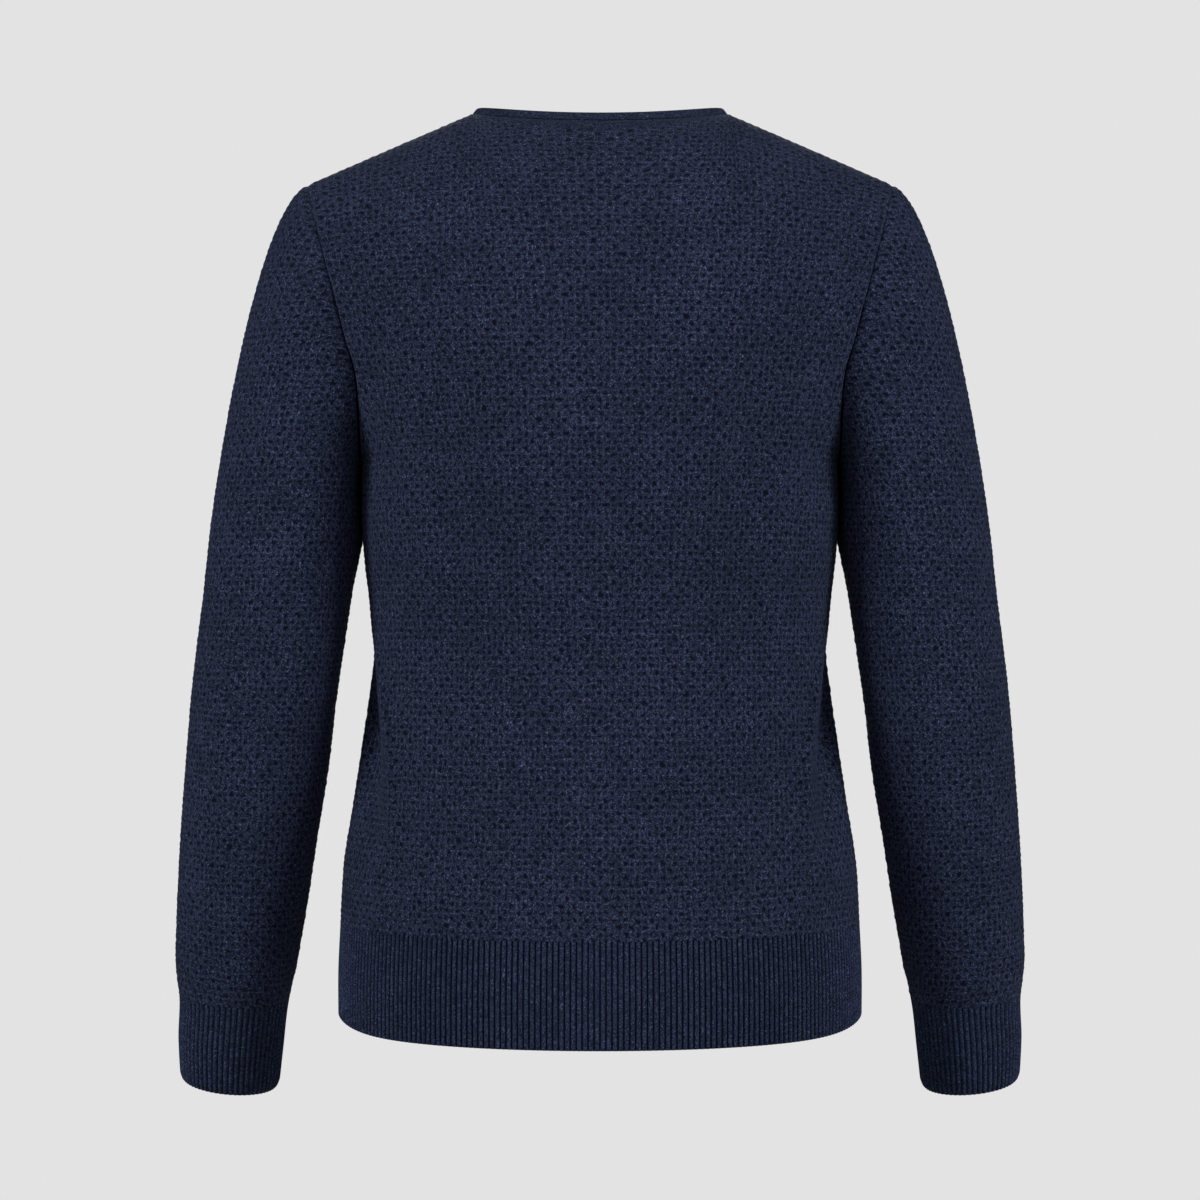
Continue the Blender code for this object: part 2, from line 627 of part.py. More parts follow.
def build_buttons(finish, collection):
    """Seven buttons, evenly spaced down the over band."""
    mesh = button_mesh()
    mesh.materials.append(finish)
    fine = np.linspace(-1, 3, 801)
    centre_line = strip_point(0.0, fine)
    for number in range(BUTTON_COUNT):
        height = BUTTON_HIGHEST + (BUTTON_LOWEST - BUTTON_HIGHEST) * number / (BUTTON_COUNT - 1)
        v = float(np.interp(height, centre_line[:, 2], fine))
        around = strip_point(*np.meshgrid([-0.002, 0.0, 0.002], [v - 0.02, v, v + 0.02]))
        normal = Vector(normals(around)[1, 1])
        seat = Vector(around[1, 1]) + normal * (BAND_WALL + 3 * GAP)
        button = bpy.data.objects.new(f"button_{number + 1}", mesh)
        collection.objects.link(button)
        facing = normal.to_track_quat("Z", "Y").to_matrix().to_4x4()
        button.matrix_world = Matrix.Translation(seat) @ facing
        turn = button.modifiers.new("turn", "SCREW")
        turn.steps = 12
        turn.render_steps = 12
        turn.use_merge_vertices = True
        turn.merge_threshold = 0.00001
        turn.use_smooth_shade = True


def build_cardigan():
    clear_scene()
    collection = bpy.data.collections.new("cardigan")
    bpy.context.scene.collection.children.link(collection)
    knit = material("navy_moss_knit", NAVY, 0.85)
    rib = material("navy_rib_knit", NAVY_RIB, 0.85)
    button = material("navy_button", NAVY_BUTTON, 0.35)
    build_back(knit, collection)
    build_front("front_left", 1.0, knit, collection)
    build_front("front_right", -1.0, knit, collection)
    build_sleeve("sleeve_left", 1.0, knit, collection)
    build_sleeve("sleeve_right", -1.0, knit, collection)
    build_cuff("cuff_left", 1.0, rib, collection)
    build_cuff("cuff_right", -1.0, rib, collection)
    build_hem_back(rib, collection)
    build_hem_front("hem_left", 1.0, rib, collection)
    build_hem_front("hem_right", -1.0, rib, collection)
    build_neck_band(rib, collection)
    build_under_band(rib, collection)
    build_over_band(rib, collection)
    build_buttons(button, collection)


build_cardigan()
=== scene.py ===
"""The looks of a fitted navy cardigan: moss-stitch panels, ribbed edges and bands, and buttons.

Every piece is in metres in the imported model's frame: +Z up, the front towards -Y, the wearer's left
towards +X, and the origin midway between the two neck points.
"""

import math
from collections import namedtuple

import bmesh
import bpy
import numpy as np
from mathutils import Matrix, Vector


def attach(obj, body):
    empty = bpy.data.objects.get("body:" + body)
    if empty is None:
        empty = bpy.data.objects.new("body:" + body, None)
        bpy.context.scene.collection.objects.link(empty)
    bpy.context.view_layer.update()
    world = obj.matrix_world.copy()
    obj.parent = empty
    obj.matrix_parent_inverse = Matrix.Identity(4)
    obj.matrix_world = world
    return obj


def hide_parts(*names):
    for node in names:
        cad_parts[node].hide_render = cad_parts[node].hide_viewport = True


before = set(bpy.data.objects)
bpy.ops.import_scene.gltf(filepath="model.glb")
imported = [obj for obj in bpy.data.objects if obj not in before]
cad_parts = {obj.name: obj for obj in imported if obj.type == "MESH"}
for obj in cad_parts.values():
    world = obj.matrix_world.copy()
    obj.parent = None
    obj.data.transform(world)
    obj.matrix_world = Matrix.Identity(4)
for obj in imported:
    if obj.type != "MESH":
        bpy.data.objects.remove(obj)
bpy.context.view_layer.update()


# ---- The back ----
# One panel of moss-stitch knit in a soft, matt navy yarn, a checkerboard of small lumps with pits
# between them, which are painted darker as shade. It runs between the side seams, from the hem rib to
# the neck and shoulders, where the panels are linked edge to edge and leave a thin sunken line.
KNIT_WALL = 0.0026
SEAM_GAP = 0.00005
WALE_WIDTH = 0.00395
COURSE_HEIGHT = 0.00438
COLUMNS_PER_WALE = 2
ROWS_PER_COURSE = 3
LUMP_HEIGHT = 0.00042
LUMP_WANDER = (0.26, 0.22)
LUMP_SIZES = (0.62, 1.25)
SIZE_TABLE = (53, 47)
SEAM_DIP = 0.0007
SEAM_REACH = 0.0013
PLAIN_STRIP = 0.0070
PLAIN_FADE = 0.0020
INNER_ROWS = 56
INNER_COLUMNS = 97
SHARP_EDGE = math.radians(75)

HEM_BOTTOM = -0.5990
HEM_TOP = -0.5315
ARMPIT = -0.2275
YOKE = -0.1375
NECK_HALF = 0.0845
SHOULDER_TIP_X = 0.1925
SHOULDER_TIP_Z = -0.0460
EDGE_TURN = math.radians(50)
QUARTER_PULL = 1.657
NECK_SHARE = 0.455
YOKE_STEP = 0.004
YOKE_LENGTH = 0.085
HALF_BACK_LENGTH = 0.19
ACROSS_SAMPLES = 161
CLIMB_SAMPLES = 121

# Each pair is for the back and the front: how deep the neck and the armholes reach, how far the
# neck drops and how roundly, and the steepest slope at the neck and how it fades to the sides
NECK_DEPTH = (0.0550, 0.0800)
ARMHOLE_DEPTH = (0.0610, 0.0540)
NECK_DROP = (0.0110, 0.0880)
NECK_ROUNDNESS = (1.6, 1.8)
NECK_SLOPE = (math.radians(52), math.radians(56))
SLOPE_FADE = (1.5, 0.6)


def table(fields, *rows):
    """Rows of values with named fields."""
    row = namedtuple("Row", fields)
    return [row(*values) for values in rows]


# The outline at the side seams and the depth at centre back and centre front, at each height
BODY_ROWS = table(
    "z half_width back front",
    (-0.5990, 0.1722, 0.1230, 0.1180),
    (-0.5625, 0.1722, 0.1222, 0.1180),
    (-0.5315, 0.1708, 0.1205, 0.1175),
    (-0.4925, 0.1686, 0.1175, 0.1160),
    (-0.4525, 0.1625, 0.1125, 0.1135),
    (-0.4125, 0.1570, 0.1080, 0.1100),
    (-0.3825, 0.1535, 0.1050, 0.1080),
    (-0.3475, 0.1502, 0.1030, 0.1070),
    (-0.3205, 0.1519, 0.1040, 0.1090),
    (-0.2925, 0.1551, 0.1070, 0.1130),
    (-0.2625, 0.1570, 0.1110, 0.1180),
    (-0.2275, 0.1570, 0.1145, 0.1215),
    (-0.1990, 0.1562, 0.1155, 0.1220),
    (-0.1715, 0.1580, 0.1145, 0.1205),
    (-0.1505, 0.1640, 0.1125, 0.1180),
    (-0.1375, 0.1672, 0.1110, 0.1160),
)

# The soft fold below the waist on each side of the back: its turn from centre back and its depth.
# A narrow ridge runs before a trough that is steep on the ridge's side and shallow on the far one.
FOLD_WIDTH = math.radians(9)
RIDGE_SHARE = 0.20
RIDGE_PLACE = -0.15 * FOLD_WIDTH
RIDGE_WIDTH = 0.25 * FOLD_WIDTH
TROUGH_PLACE = 0.75 * FOLD_WIDTH
TROUGH_NEAR = 0.40 * FOLD_WIDTH
TROUGH_FAR = 1.5 * FOLD_WIDTH
FOLD_ASIDE = 0.1
FOLD_ROWS = table(
    "z left_turn right_turn left_depth right_depth",
    (-0.5315, 52.0, 52.0, 0.0000, 0.0000),
    (-0.4850, 54.0, 54.0, 0.0020, 0.0020),
    (-0.4550, 57.0, 56.0, 0.0125, 0.0130),
    (-0.4200, 60.5, 59.5, 0.0225, 0.0235),
    (-0.3900, 66.5, 65.5, 0.0230, 0.0225),
    (-0.3600, 74.5, 73.5, 0.0130, 0.0125),
    (-0.3300, 88.0, 88.0, 0.0000, 0.0000),
)

# How far the stitches are pulled wide at each height
STRETCH_ROWS = table(
    "z wide",
    (-0.60, 1.02),
    (-0.36, 1.00),
    (-0.24, 1.06),
    (-0.12, 1.14),
)

# Shallow creases: turn round the body in degrees from centre back (wearer's left is
# positive), height, the same at the other end, half width and depth; a ridge has a negative depth
CREASE_FIELDS = "turn height to_turn to_height width depth"
BODY_TURN_RADIUS = 0.145
BODY_CREASES = table(
    CREASE_FIELDS,
    (46.0, -0.185, 49.0, -0.345, 0.021, 0.0042),
    (53.0, -0.330, 47.0, -0.430, 0.014, 0.0014),
    (-44.0, -0.178, -48.0, -0.335, 0.022, 0.0044),
    (-55.0, -0.300, -46.0, -0.415, 0.013, 0.0012),
    (36.0, -0.160, 42.0, -0.262, 0.014, -0.0011),
    (-35.0, -0.168, -41.0, -0.240, 0.015, -0.0010),
    (22.0, -0.395, 30.0, -0.500, 0.020, 0.0010),
    (-18.0, -0.420, -26.0, -0.512, 0.018, 0.0009),
    (8.0, -0.300, -6.0, -0.318, 0.012, 0.0006),
    (62.0, -0.214, 74.0, -0.250, 0.011, 0.0016),
    (-63.0, -0.210, -75.0, -0.244, 0.010, 0.0015),
    (132.0, -0.196, 128.0, -0.325, 0.018, 0.0024),
    (-133.0, -0.204, -127.0, -0.338, 0.016, 0.0022),
    (126.0, -0.330, 137.0, -0.436, 0.014, 0.0015),
    (-125.0, -0.322, -138.0, -0.420, 0.015, 0.0013),
    (150.0, -0.402, 146.0, -0.506, 0.019, 0.0010),
    (-152.0, -0.388, -147.0, -0.498, 0.017, 0.0011),
    (112.0, -0.212, 104.0, -0.246, 0.010, 0.0015),
    (-113.0, -0.216, -105.0, -0.252, 0.011, 0.0014),
)


def through(knots, values):
    """A smooth function that passes through the values at the knots."""
    knots = np.array(knots, float)
    values = np.array(values, float)
    slopes = np.gradient(values, knots)

    def at(x):
        x = np.clip(x, knots[0], knots[-1])
        i = np.clip(np.searchsorted(knots, x, side="right") - 1, 0, len(knots) - 2)
        span = knots[i + 1] - knots[i]
        t = (x - knots[i]) / span
        start = (1 + 2 * t) * (1 - t) ** 2 * values[i] + t * (1 - t) ** 2 * span * slopes[i]
        end = t * t * (3 - 2 * t) * values[i + 1] + t * t * (t - 1) * span * slopes[i + 1]
        return start + end

    return at


def columns(rows, key):
    """Each column of a table as a smooth function of the key column."""
    rows = sorted(rows, key=lambda row: getattr(row, key))
    knots = [getattr(row, key) for row in rows]
    return {
        name: through(knots, [getattr(row, name) for row in rows])
        for name in rows[0]._fields
        if name != key
    }


BODY = columns(BODY_ROWS, "z")
FOLD = columns(FOLD_ROWS, "z")
STRETCH = columns(STRETCH_ROWS, "z")


def bell(distance, width):
    return np.exp(-((distance / width) ** 2))


def eased(x, low, high):
    """0 below low, 1 above high and smooth between."""
    t = np.clip((x - low) / (high - low), 0, 1)
    return t * t * (3 - 2 * t)


def point(x, y, z):
    return np.stack(np.broadcast_arrays(x, y, z), -1)


def by_side(side, pair):
    """The first of a pair where side is +1, on the back, and the second on the front."""
    return np.where(side > 0, *pair)


def body_section(side, z):
    """Half width, seam depth, centre depth and end turn of the body at height z."""
    half = BODY["half_width"](z)
    centre = by_side(side, (BODY["back"](z), BODY["front"](z)))
    reach = by_side(side, ARMHOLE_DEPTH)
    share = np.sqrt(np.clip(1 - ((YOKE - z) / (YOKE - ARMPIT)) ** 2, 0, 1))
    return half, reach * share, centre, math.pi / 2 - (math.pi / 2 - EDGE_TURN) * share


def body_row(side, x_side, turn, z):
    """A point of the body at height z, side +1 on the back, at a turn from the centre line."""
    half, edge_y, centre, end = body_section(side, z)
    x = half * np.sin(turn) / np.sin(end)
    y = edge_y + (centre - edge_y) * (np.cos(turn) - np.cos(end)) / (1 - np.cos(end))
    round_body = by_side(side, (turn, math.pi - turn))
    path = np.where(x_side > 0, FOLD["left_turn"](z), FOLD["right_turn"](z))
    depth = np.where(x_side > 0, FOLD["left_depth"](z), FOLD["right_depth"](z))
    past = round_body - np.radians(path)
    beyond = past - TROUGH_PLACE
    trough = bell(beyond, np.where(beyond < 0, TROUGH_NEAR, TROUGH_FAR))
    inward = depth * (trough - RIDGE_SHARE * bell(past - RIDGE_PLACE, RIDGE_WIDTH))
    return point(x_side * (x - FOLD_ASIDE * inward), side * y - inward, z)


def row_turn(side, inner_x, across, z):
    """The turn at a share of the way from inner_x to the panel's outer edge."""
    half, _, _, end = body_section(side, z)
    start = np.arcsin(inner_x * np.sin(end) / half)
    return start + across * (end - start)


def neck_point(side, x_side, turn):
    """A point of the neck edge, with a turn of 0 at its centre and 90 degrees at the neck point."""
    y = side * by_side(side, NECK_DEPTH) * np.cos(turn)
    z = -by_side(side, NECK_DROP) * np.cos(turn) ** by_side(side, NECK_ROUNDNESS)
    return point(x_side * NECK_HALF * np.sin(turn), y, z)


def neck_lean(side, turn):
    """The slope at which the cloth climbs to the neck edge."""
    return by_side(side, NECK_SLOPE) * np.cos(turn) ** by_side(side, SLOPE_FADE)


def yoke_point(side, x_side, turn, top, lean, t):
    """Above the yoke line the cloth curves over from its row there to the top edge."""
    base = body_row(side, x_side, turn, YOKE)
    below = body_row(side, x_side, turn, YOKE - YOKE_STEP)
    rise = QUARTER_PULL * (top[..., 2] - YOKE)
    leave = (base - below) / YOKE_STEP * rise[..., None]
    back = QUARTER_PULL * np.abs((top - base)[..., 1])
    arrive = point(0.0, -side * back * np.cos(lean), back * np.sin(lean))
    return hermite(base, leave, top, arrive, t)


def hermite(start, leave, end, arrive, t):
    t = np.asarray(t)[..., None]
    return (
        (1 + 2 * t) * (1 - t) ** 2 * start
        + t * (1 - t) ** 2 * leave
        + t * t * (3 - 2 * t) * end
        + t * t * (t - 1) * arrive
    )


def row_height(v):
    """Height for v from 0 at the hem rib to 1 at the armpit and 2 at the yoke line."""
    low = HEM_TOP + np.clip(v, 0, 1) * (ARMPIT - HEM_TOP)
    high = YOKE - (YOKE - ARMPIT) * np.cos(np.clip(v - 1, 0, 1) * math.pi / 2)
    return np.where(v <= 1, low, high)


def height_level(z):
    """The v of a height below the yoke line."""
    low = (z - HEM_TOP) / (ARMPIT - HEM_TOP)
    high = 1 + np.arccos(np.clip((YOKE - z) / (YOKE - ARMPIT), 0, 1)) * 2 / math.pi
    return np.where(z <= ARMPIT, low, high)


def panel_point(side, x_side, inner_x, across, v):
    """A point of the body, across from inner_x to the seam, v from 0 at the hem rib to 3."""
    side, x_side, across, v = np.broadcast_arrays(side, x_side, across, np.asarray(v, float))
    z = row_height(v)
    plain = body_row(side, x_side, row_turn(side, inner_x, across, z), z)
    start = np.arcsin(inner_x / NECK_HALF)
    neck_turn = start + np.clip(across / NECK_SHARE, 0, 1) * (math.pi / 2 - start)
    down = np.clip((across - NECK_SHARE) / (1 - NECK_SHARE), 0, 1)
    shoulder = point(x_side * down * (SHOULDER_TIP_X - NECK_HALF), 0.0, down * SHOULDER_TIP_Z)
    top = neck_point(side, x_side, neck_turn) + shoulder
    yoke_turn = row_turn(side, inner_x, across, YOKE)
    lean = neck_lean(side, neck_turn)
    yoke = yoke_point(side, x_side, yoke_turn, top, lean, np.clip(v - 2, 0, 1))
    return np.where((v <= 2)[..., None], plain, yoke)


# A surface as at(u, v), the limits of both, and the sign that turns its normals outwards
Surface = namedtuple("Surface", "at u_limits v_limits outward")

# Stitches laid over a surface: shares, stitch numbers, distances to the edges, which vertex stands
# for each place, and the cut's width, length and area
Knitting = namedtuple("Knitting", "u v wale course side_gap top_gap owner flat area")


def facing(surface, u, v):
    """Outward unit normals of a surface."""
    step = 0.004
    u_low, u_high = (np.clip(u + way * step, *surface.u_limits) for way in (-1, 1))
    v_low, v_high = (np.clip(v + way * step, *surface.v_limits) for way in (-1, 1))
    across = surface.at(u_high, v) - surface.at(u_low, v)
    up = surface.at(u, v_high) - surface.at(u, v_low)
    cross = np.cross(across, up) * surface.outward
    return cross / np.linalg.norm(cross, axis=-1, keepdims=True)


def lengths_along(points, axis):
    """Running length of the lines of a grid of points."""
    steps = np.linalg.norm(np.diff(points, axis=axis), axis=-1)
    running = np.cumsum(steps, axis=axis)
    first = np.zeros_like(np.take(running, [0], axis=axis))
    return np.concatenate([first, running], axis=axis)


def lay_stitches(surface, levels, wale_width):
    """Lays wales at equal widths from u = 0 and courses at equal heights over a surface.

    Below the last level the courses are the levels; above it they climb each wale by their own
    height until the wale meets the upper edge. What would pass an edge stops on it.
    """
    shares = np.linspace(*surface.u_limits, ACROSS_SAMPLES)
    share_grid, level_grid = np.meshgrid(shares, levels)
    runs = lengths_along(surface.at(share_grid, level_grid), 1)
    runs -= runs[:, [int(np.argmin(np.abs(shares)))]]
    most = int(np.ceil(np.max(runs[:, -1] / wale_width) * COLUMNS_PER_WALE))
    least = int(np.floor(np.min(runs[:, 0] / wale_width) * COLUMNS_PER_WALE))
    wales = np.arange(least, most + 1) / COLUMNS_PER_WALE
    wanted = wales[None, :] * wale_width[:, None]
    held = np.clip(wanted, runs[:, :1], runs[:, -1:])
    u_low = np.array([np.interp(row, run, shares) for row, run in zip(held, runs)])
    side_gap = runs[:, -1:] - held
    if shares[0] < 0:
        side_gap = np.minimum(side_gap, held - runs[:, :1])
    first = np.maximum(np.sum(wanted <= runs[:, :1], axis=1) - 1, 0)
    last = np.minimum(wales.size - np.sum(wanted >= runs[:, -1:], axis=1), wales.size - 1)

    column = np.arange(wales.size)
    inside = np.clip(column, first[-1], last[-1])
    top_u = u_low[-1][inside]
    climb = np.linspace(levels[-1], surface.v_limits[1], CLIMB_SAMPLES)
    up_grid, climb_grid = np.meshgrid(top_u, climb)
    heights = lengths_along(surface.at(up_grid, climb_grid), 0)
    step = COURSE_HEIGHT / ROWS_PER_COURSE
    extra = int(np.ceil(np.max(heights[-1]) / step))
    wanted_up = np.arange(1, extra + 1)[:, None] * step
    held_up = np.minimum(wanted_up, heights[-1])
    v_up = np.stack([np.interp(held_up[:, c], heights[:, c], climb) for c in column], 1)
    stop = levels.size + np.sum(wanted_up < heights[-1], axis=0)

    rows = levels.size + extra
    row = np.arange(rows)[:, None]
    first_of = np.concatenate([first, np.full(extra, first[-1])])[:, None]
    last_of = np.concatenate([last, np.full(extra, last[-1])])[:, None]
    held_column = np.clip(column[None, :], first_of, last_of)
    held_row = np.minimum(row, stop[held_column])
    low_course = np.repeat(np.arange(levels.size)[:, None], wales.size, axis=1)
    top_course = levels.size - 1 + held_up / step
    widths = runs[:, -1] - runs[:, 0]
    climbs = np.linalg.norm(np.diff(surface.at(0 * levels, levels), axis=0), axis=-1)
    top = np.s_[first[-1]:last[-1] + 1]
    top_widths = np.abs(np.diff(wanted[-1][top], prepend=wanted[-1][first[-1]]))
    area = 0.5 * np.sum((widths[1:] + widths[:-1]) * climbs) + np.sum(heights[-1][top] * top_widths)
    return Knitting(
        u=np.vstack([u_low, np.repeat(top_u[None, :], extra, axis=0)]),
        v=np.vstack([np.repeat(levels[:, None], wales.size, axis=1), v_up]),
        wale=np.vstack([held / wale_width[:, None], np.repeat(held[-1:] / wale_width[-1], extra, 0)]),
        course=np.vstack([low_course, top_course]) / ROWS_PER_COURSE,
        side_gap=np.vstack([side_gap, np.repeat(side_gap[-1:], extra, axis=0)]),
        top_gap=np.vstack([np.repeat(heights[-1:], levels.size, axis=0), heights[-1:] - held_up]),
        owner=held_row * wales.size + held_column,
        flat=(float(np.max(widths)), float(climbs.sum() + np.max(heights[-1]))),
        area=float(area),
    )


def uneven(a, b, seed):
    """A slow, uneven wave between -1 and 1 over two running numbers."""
    wave = 0.42 * np.sin(0.83 * a + 1.21 * b + 1.7 * seed)
    wave += 0.33 * np.sin(1.63 * a - 0.77 * b + 2.9 * seed)
    wave += 0.25 * np.sin(2.17 * a + 2.71 * b + 0.6 * seed)
    return wave


def moss_lumps(wale, course, seed):
    """Moss stitch, 1 on a lump and -1 in a pit, and the uneven stitch numbers that it follows."""
    wale = wale + LUMP_WANDER[0] * uneven(wale, course, seed)
    course = course + LUMP_WANDER[1] * uneven(course, wale, seed + 5)
    wave = np.cos(math.pi * wale) * np.cos(math.pi * course)
    lumps = np.where(wave > 0, np.abs(wave) ** 0.8, -np.abs(wave) ** 1.2)
    size = np.random.default_rng(seed).uniform(*LUMP_SIZES, SIZE_TABLE)
    diagonal = np.rint((wale + course) / 2).astype(int) % SIZE_TABLE[0]
    counter = np.rint((wale - course) / 2).astype(int) % SIZE_TABLE[1]
    return lumps * size[diagonal, counter], wale, course


def crease_depth(creases, turn, height, radius):
    """How far the cloth lies in at a turn and height, for a table of creases."""
    depth = np.zeros(np.broadcast(turn, height).shape)
    for crease in creases:
        run = np.radians(crease.to_turn - crease.turn) * radius
        rise = crease.to_height - crease.height
        x = np.radians(turn - crease.turn) * radius
        z = height - crease.height
        share = np.clip((x * run + z * rise) / (run * run + rise * rise), 0, 1)
        away = np.hypot(x - share * run, z - share * rise)
        depth += crease.depth * (0.4 + 0.6 * np.sin(math.pi * share)) * bell(away, crease.width)
    return depth


def body_creases(points):
    turn = np.degrees(np.arctan2(points[..., 0], points[..., 1]))
    return crease_depth(BODY_CREASES, turn, points[..., 2], BODY_TURN_RADIUS)


def clean_line(ids):
    """A line of vertex numbers without repeats."""
    ids = np.asarray(ids)
    return ids[np.concatenate([[True], ids[1:] != ids[:-1]])]


def rim(points, upper, lower):
    """Triangles between two lines of vertices, matched by the share of their length."""
    shares = []
    for line in (upper, lower):
        running = lengths_along(points[line], 0)
        shares.append(running / running[-1])
    faces = []
    i = j = 0
    while i < len(upper) - 1 or j < len(lower) - 1:
        next_upper = shares[0][i + 1] if i < len(upper) - 1 else 2.0
        next_lower = shares[1][j + 1] if j < len(lower) - 1 else 2.0
        if next_upper <= next_lower:
            faces.append((upper[i], upper[i + 1], lower[j]))
            i += 1
        else:
            faces.append((upper[i], lower[j + 1], lower[j]))
            j += 1
    return faces


def grid_faces(owner):
    """Quads and triangles of a grid whose places may share a vertex."""
    corners = [owner[:-1, :-1], owner[:-1, 1:], owner[1:, 1:], owner[1:, :-1]]
    faces = np.stack(corners, -1).reshape(-1, 4)
    same = faces == np.roll(faces, -1, axis=1)
    quads = faces[same.sum(1) == 0]
    made = quads.tolist()
    for face, repeat in zip(faces[same.sum(1) == 1], same[same.sum(1) == 1]):
        made.append(face[~repeat].tolist())
    return made


def cloth_wall(name, outer, owner, inner, outer_stitch, inner_stitch, finish):
    """A closed cloth wall: a fine outer grid and a plainer inner one, joined round their edges."""
    inner_owner = outer[..., 0].size + np.arange(inner[..., 0].size).reshape(inner.shape[:2])
    points = np.vstack([outer.reshape(-1, 3), inner.reshape(-1, 3)])
    stitch = np.vstack([outer_stitch.reshape(-1, 3), inner_stitch.reshape(-1, 3)])
    faces = grid_faces(owner) + grid_faces(inner_owner)
    for pick in (np.s_[0, :], np.s_[-1, :], np.s_[:, 0], np.s_[:, -1]):
        faces += rim(points, clean_line(owner[pick]), clean_line(inner_owner[pick]))
    used, numbers = np.unique([n for face in faces for n in face], return_inverse=True)
    sizes = np.cumsum([0] + [len(face) for face in faces])
    numbers = numbers.tolist()
    faces = [numbers[a:b] for a, b in zip(sizes[:-1], sizes[1:])]
    return stitched_mesh(name, points[used], faces, stitch[used], SHARP_EDGE, finish)


def stitched_mesh(name, points, faces, stitch, sharp_angle, finish):
    """A closed mesh with its normals outwards, which carries the stitch numbers."""
    mesh = bpy.data.meshes.new(name)
    mesh.from_pydata(points.tolist(), [], faces)
    shape = bmesh.new()
    shape.from_mesh(mesh)
    bmesh.ops.recalc_face_normals(shape, faces=shape.faces)
    if shape.calc_volume(signed=True) < 0:
        bmesh.ops.reverse_faces(shape, faces=shape.faces)
    shape.to_mesh(mesh)
    shape.free()
    made = mesh.attributes.new("stitch", "FLOAT_VECTOR", "POINT")
    made.data.foreach_set("vector", stitch.ravel())
    mesh.shade_smooth()
    mesh.set_sharp_from_angle(angle=sharp_angle)
    mesh.materials.append(finish)
    return linked(name, mesh)


def linked(name, data):
    """A new object in the scene."""
    made = bpy.data.objects.new(name, data)
    bpy.context.scene.collection.objects.link(made)
    return made


def moss_wall(name, surface, knitting, creases, seed, plain_top, finish):
    """A moss-stitch panel over its surface; plain_top says where a plain strip ends the panel."""
    lumps, wale, course = moss_lumps(knitting.wale, knitting.course, seed)
    plain = 1 - eased(knitting.top_gap, PLAIN_STRIP, PLAIN_STRIP + PLAIN_FADE)
    moss = 1 - plain_top(knitting.u) * plain
    sunk = bell(np.minimum(knitting.side_gap, knitting.top_gap), SEAM_REACH)
    base = surface.at(knitting.u, knitting.v)
    out = facing(surface, knitting.u, knitting.v)
    lift = LUMP_HEIGHT * lumps * moss * (1 - sunk) - SEAM_DIP * sunk
    outer = base + out * (lift - creases(base, knitting.u))[..., None]
    rows = np.unique(np.linspace(0, knitting.u.shape[0] - 1, INNER_ROWS).astype(int))
    middle = int(np.argmin(np.abs(knitting.wale[0])))
    u, v = np.meshgrid(np.linspace(*surface.u_limits, INNER_COLUMNS), knitting.v[rows, middle])
    inner_base = surface.at(u, v)
    inner_out = facing(surface, u, v)
    inner = inner_base - inner_out * (KNIT_WALL + creases(inner_base, u))[..., None]
    run = lengths_along(inner_base, 1) / WALE_WIDTH
    climb = lengths_along(inner_base, 0) / COURSE_HEIGHT
    outer_stitch = point(wale, course, moss)
    return cloth_wall(name, outer, knitting.owner, inner, outer_stitch, point(run, climb, 1.0), finish)


# Shader building blocks. Each group puts out only values that change over the surface.
def new_group(name, inputs, outputs):
    """A node group with named inputs and outputs, and the nodes at its two ends."""
    group = bpy.data.node_groups.new(name, "ShaderNodeTree")
    for way, sockets in (("INPUT", inputs), ("OUTPUT", outputs)):
        for label, kind in sockets.items():
            group.interface.new_socket(label, in_out=way, socket_type="NodeSocket" + kind)
    return group, group.nodes.new("NodeGroupInput"), group.nodes.new("NodeGroupOutput")


def feed(tree, socket, value):
    """Connects a socket to another, or sets it to a plain value."""
    if isinstance(value, bpy.types.NodeSocket):
        tree.links.new(value, socket)
    elif value is not None:
        socket.default_value = value


def feed_all(tree, node, values):
    """Connects or sets the named inputs of a node."""
    for label, value in values.items():
        feed(tree, node.inputs[label], value)


def calc(tree, operation, *values, clamp=False):
    node = tree.nodes.new("ShaderNodeMath")
    node.operation = operation
    node.use_clamp = clamp
    for socket, value in zip(node.inputs, values):
        feed(tree, socket, value)
    return node.outputs[0]


def ramped(tree, value, low, high, to_low=0.0, to_high=1.0):
    node = tree.nodes.new("ShaderNodeMapRange")
    node.interpolation_type = "SMOOTHSTEP"
    feed_all(tree, node, {"Value": value, "From Min": low, "From Max": high,
                          "To Min": to_low, "To Max": to_high})
    return node.outputs["Result"]


def mixed(tree, factor, first, second, blend="MIX"):
    node = tree.nodes.new("ShaderNodeMix")
    node.data_type = "RGBA"
    node.blend_type = blend
    feed_all(tree, node, {"Factor": factor, "A": first, "B": second})
    return node.outputs["Result"]


def object_place(tree):
    return tree.nodes.new("ShaderNodeTexCoord").outputs["Object"]


def speckle(tree, vector, scale, detail=2.0, rough=0.5):
    node = tree.nodes.new("ShaderNodeTexNoise")
    feed_all(tree, node, {"Vector": vector, "Scale": scale, "Detail": detail, "Roughness": rough})
    return node.outputs["Fac"]


def wavering(tree, vector, scale, rough=0.5):
    """A noise that runs about equally far above and below 0."""
    return calc(tree, "SUBTRACT", speckle(tree, vector, scale, rough=rough), 0.5)


def new_stitch_group(name):
    """A group from stitch numbers to painted pit shade, tints and relief: the numbers whole and split
    up.
    """
    group, given, made = new_group(
        name, {"Stitch": "Vector"}, {"Painted Pit Shade": "Float", "Tint": "Float", "Relief": "Float"}
    )
    split = group.nodes.new("ShaderNodeSeparateXYZ")
    feed(group, split.inputs[0], given.outputs["Stitch"])
    return group, given.outputs["Stitch"], split.outputs, made


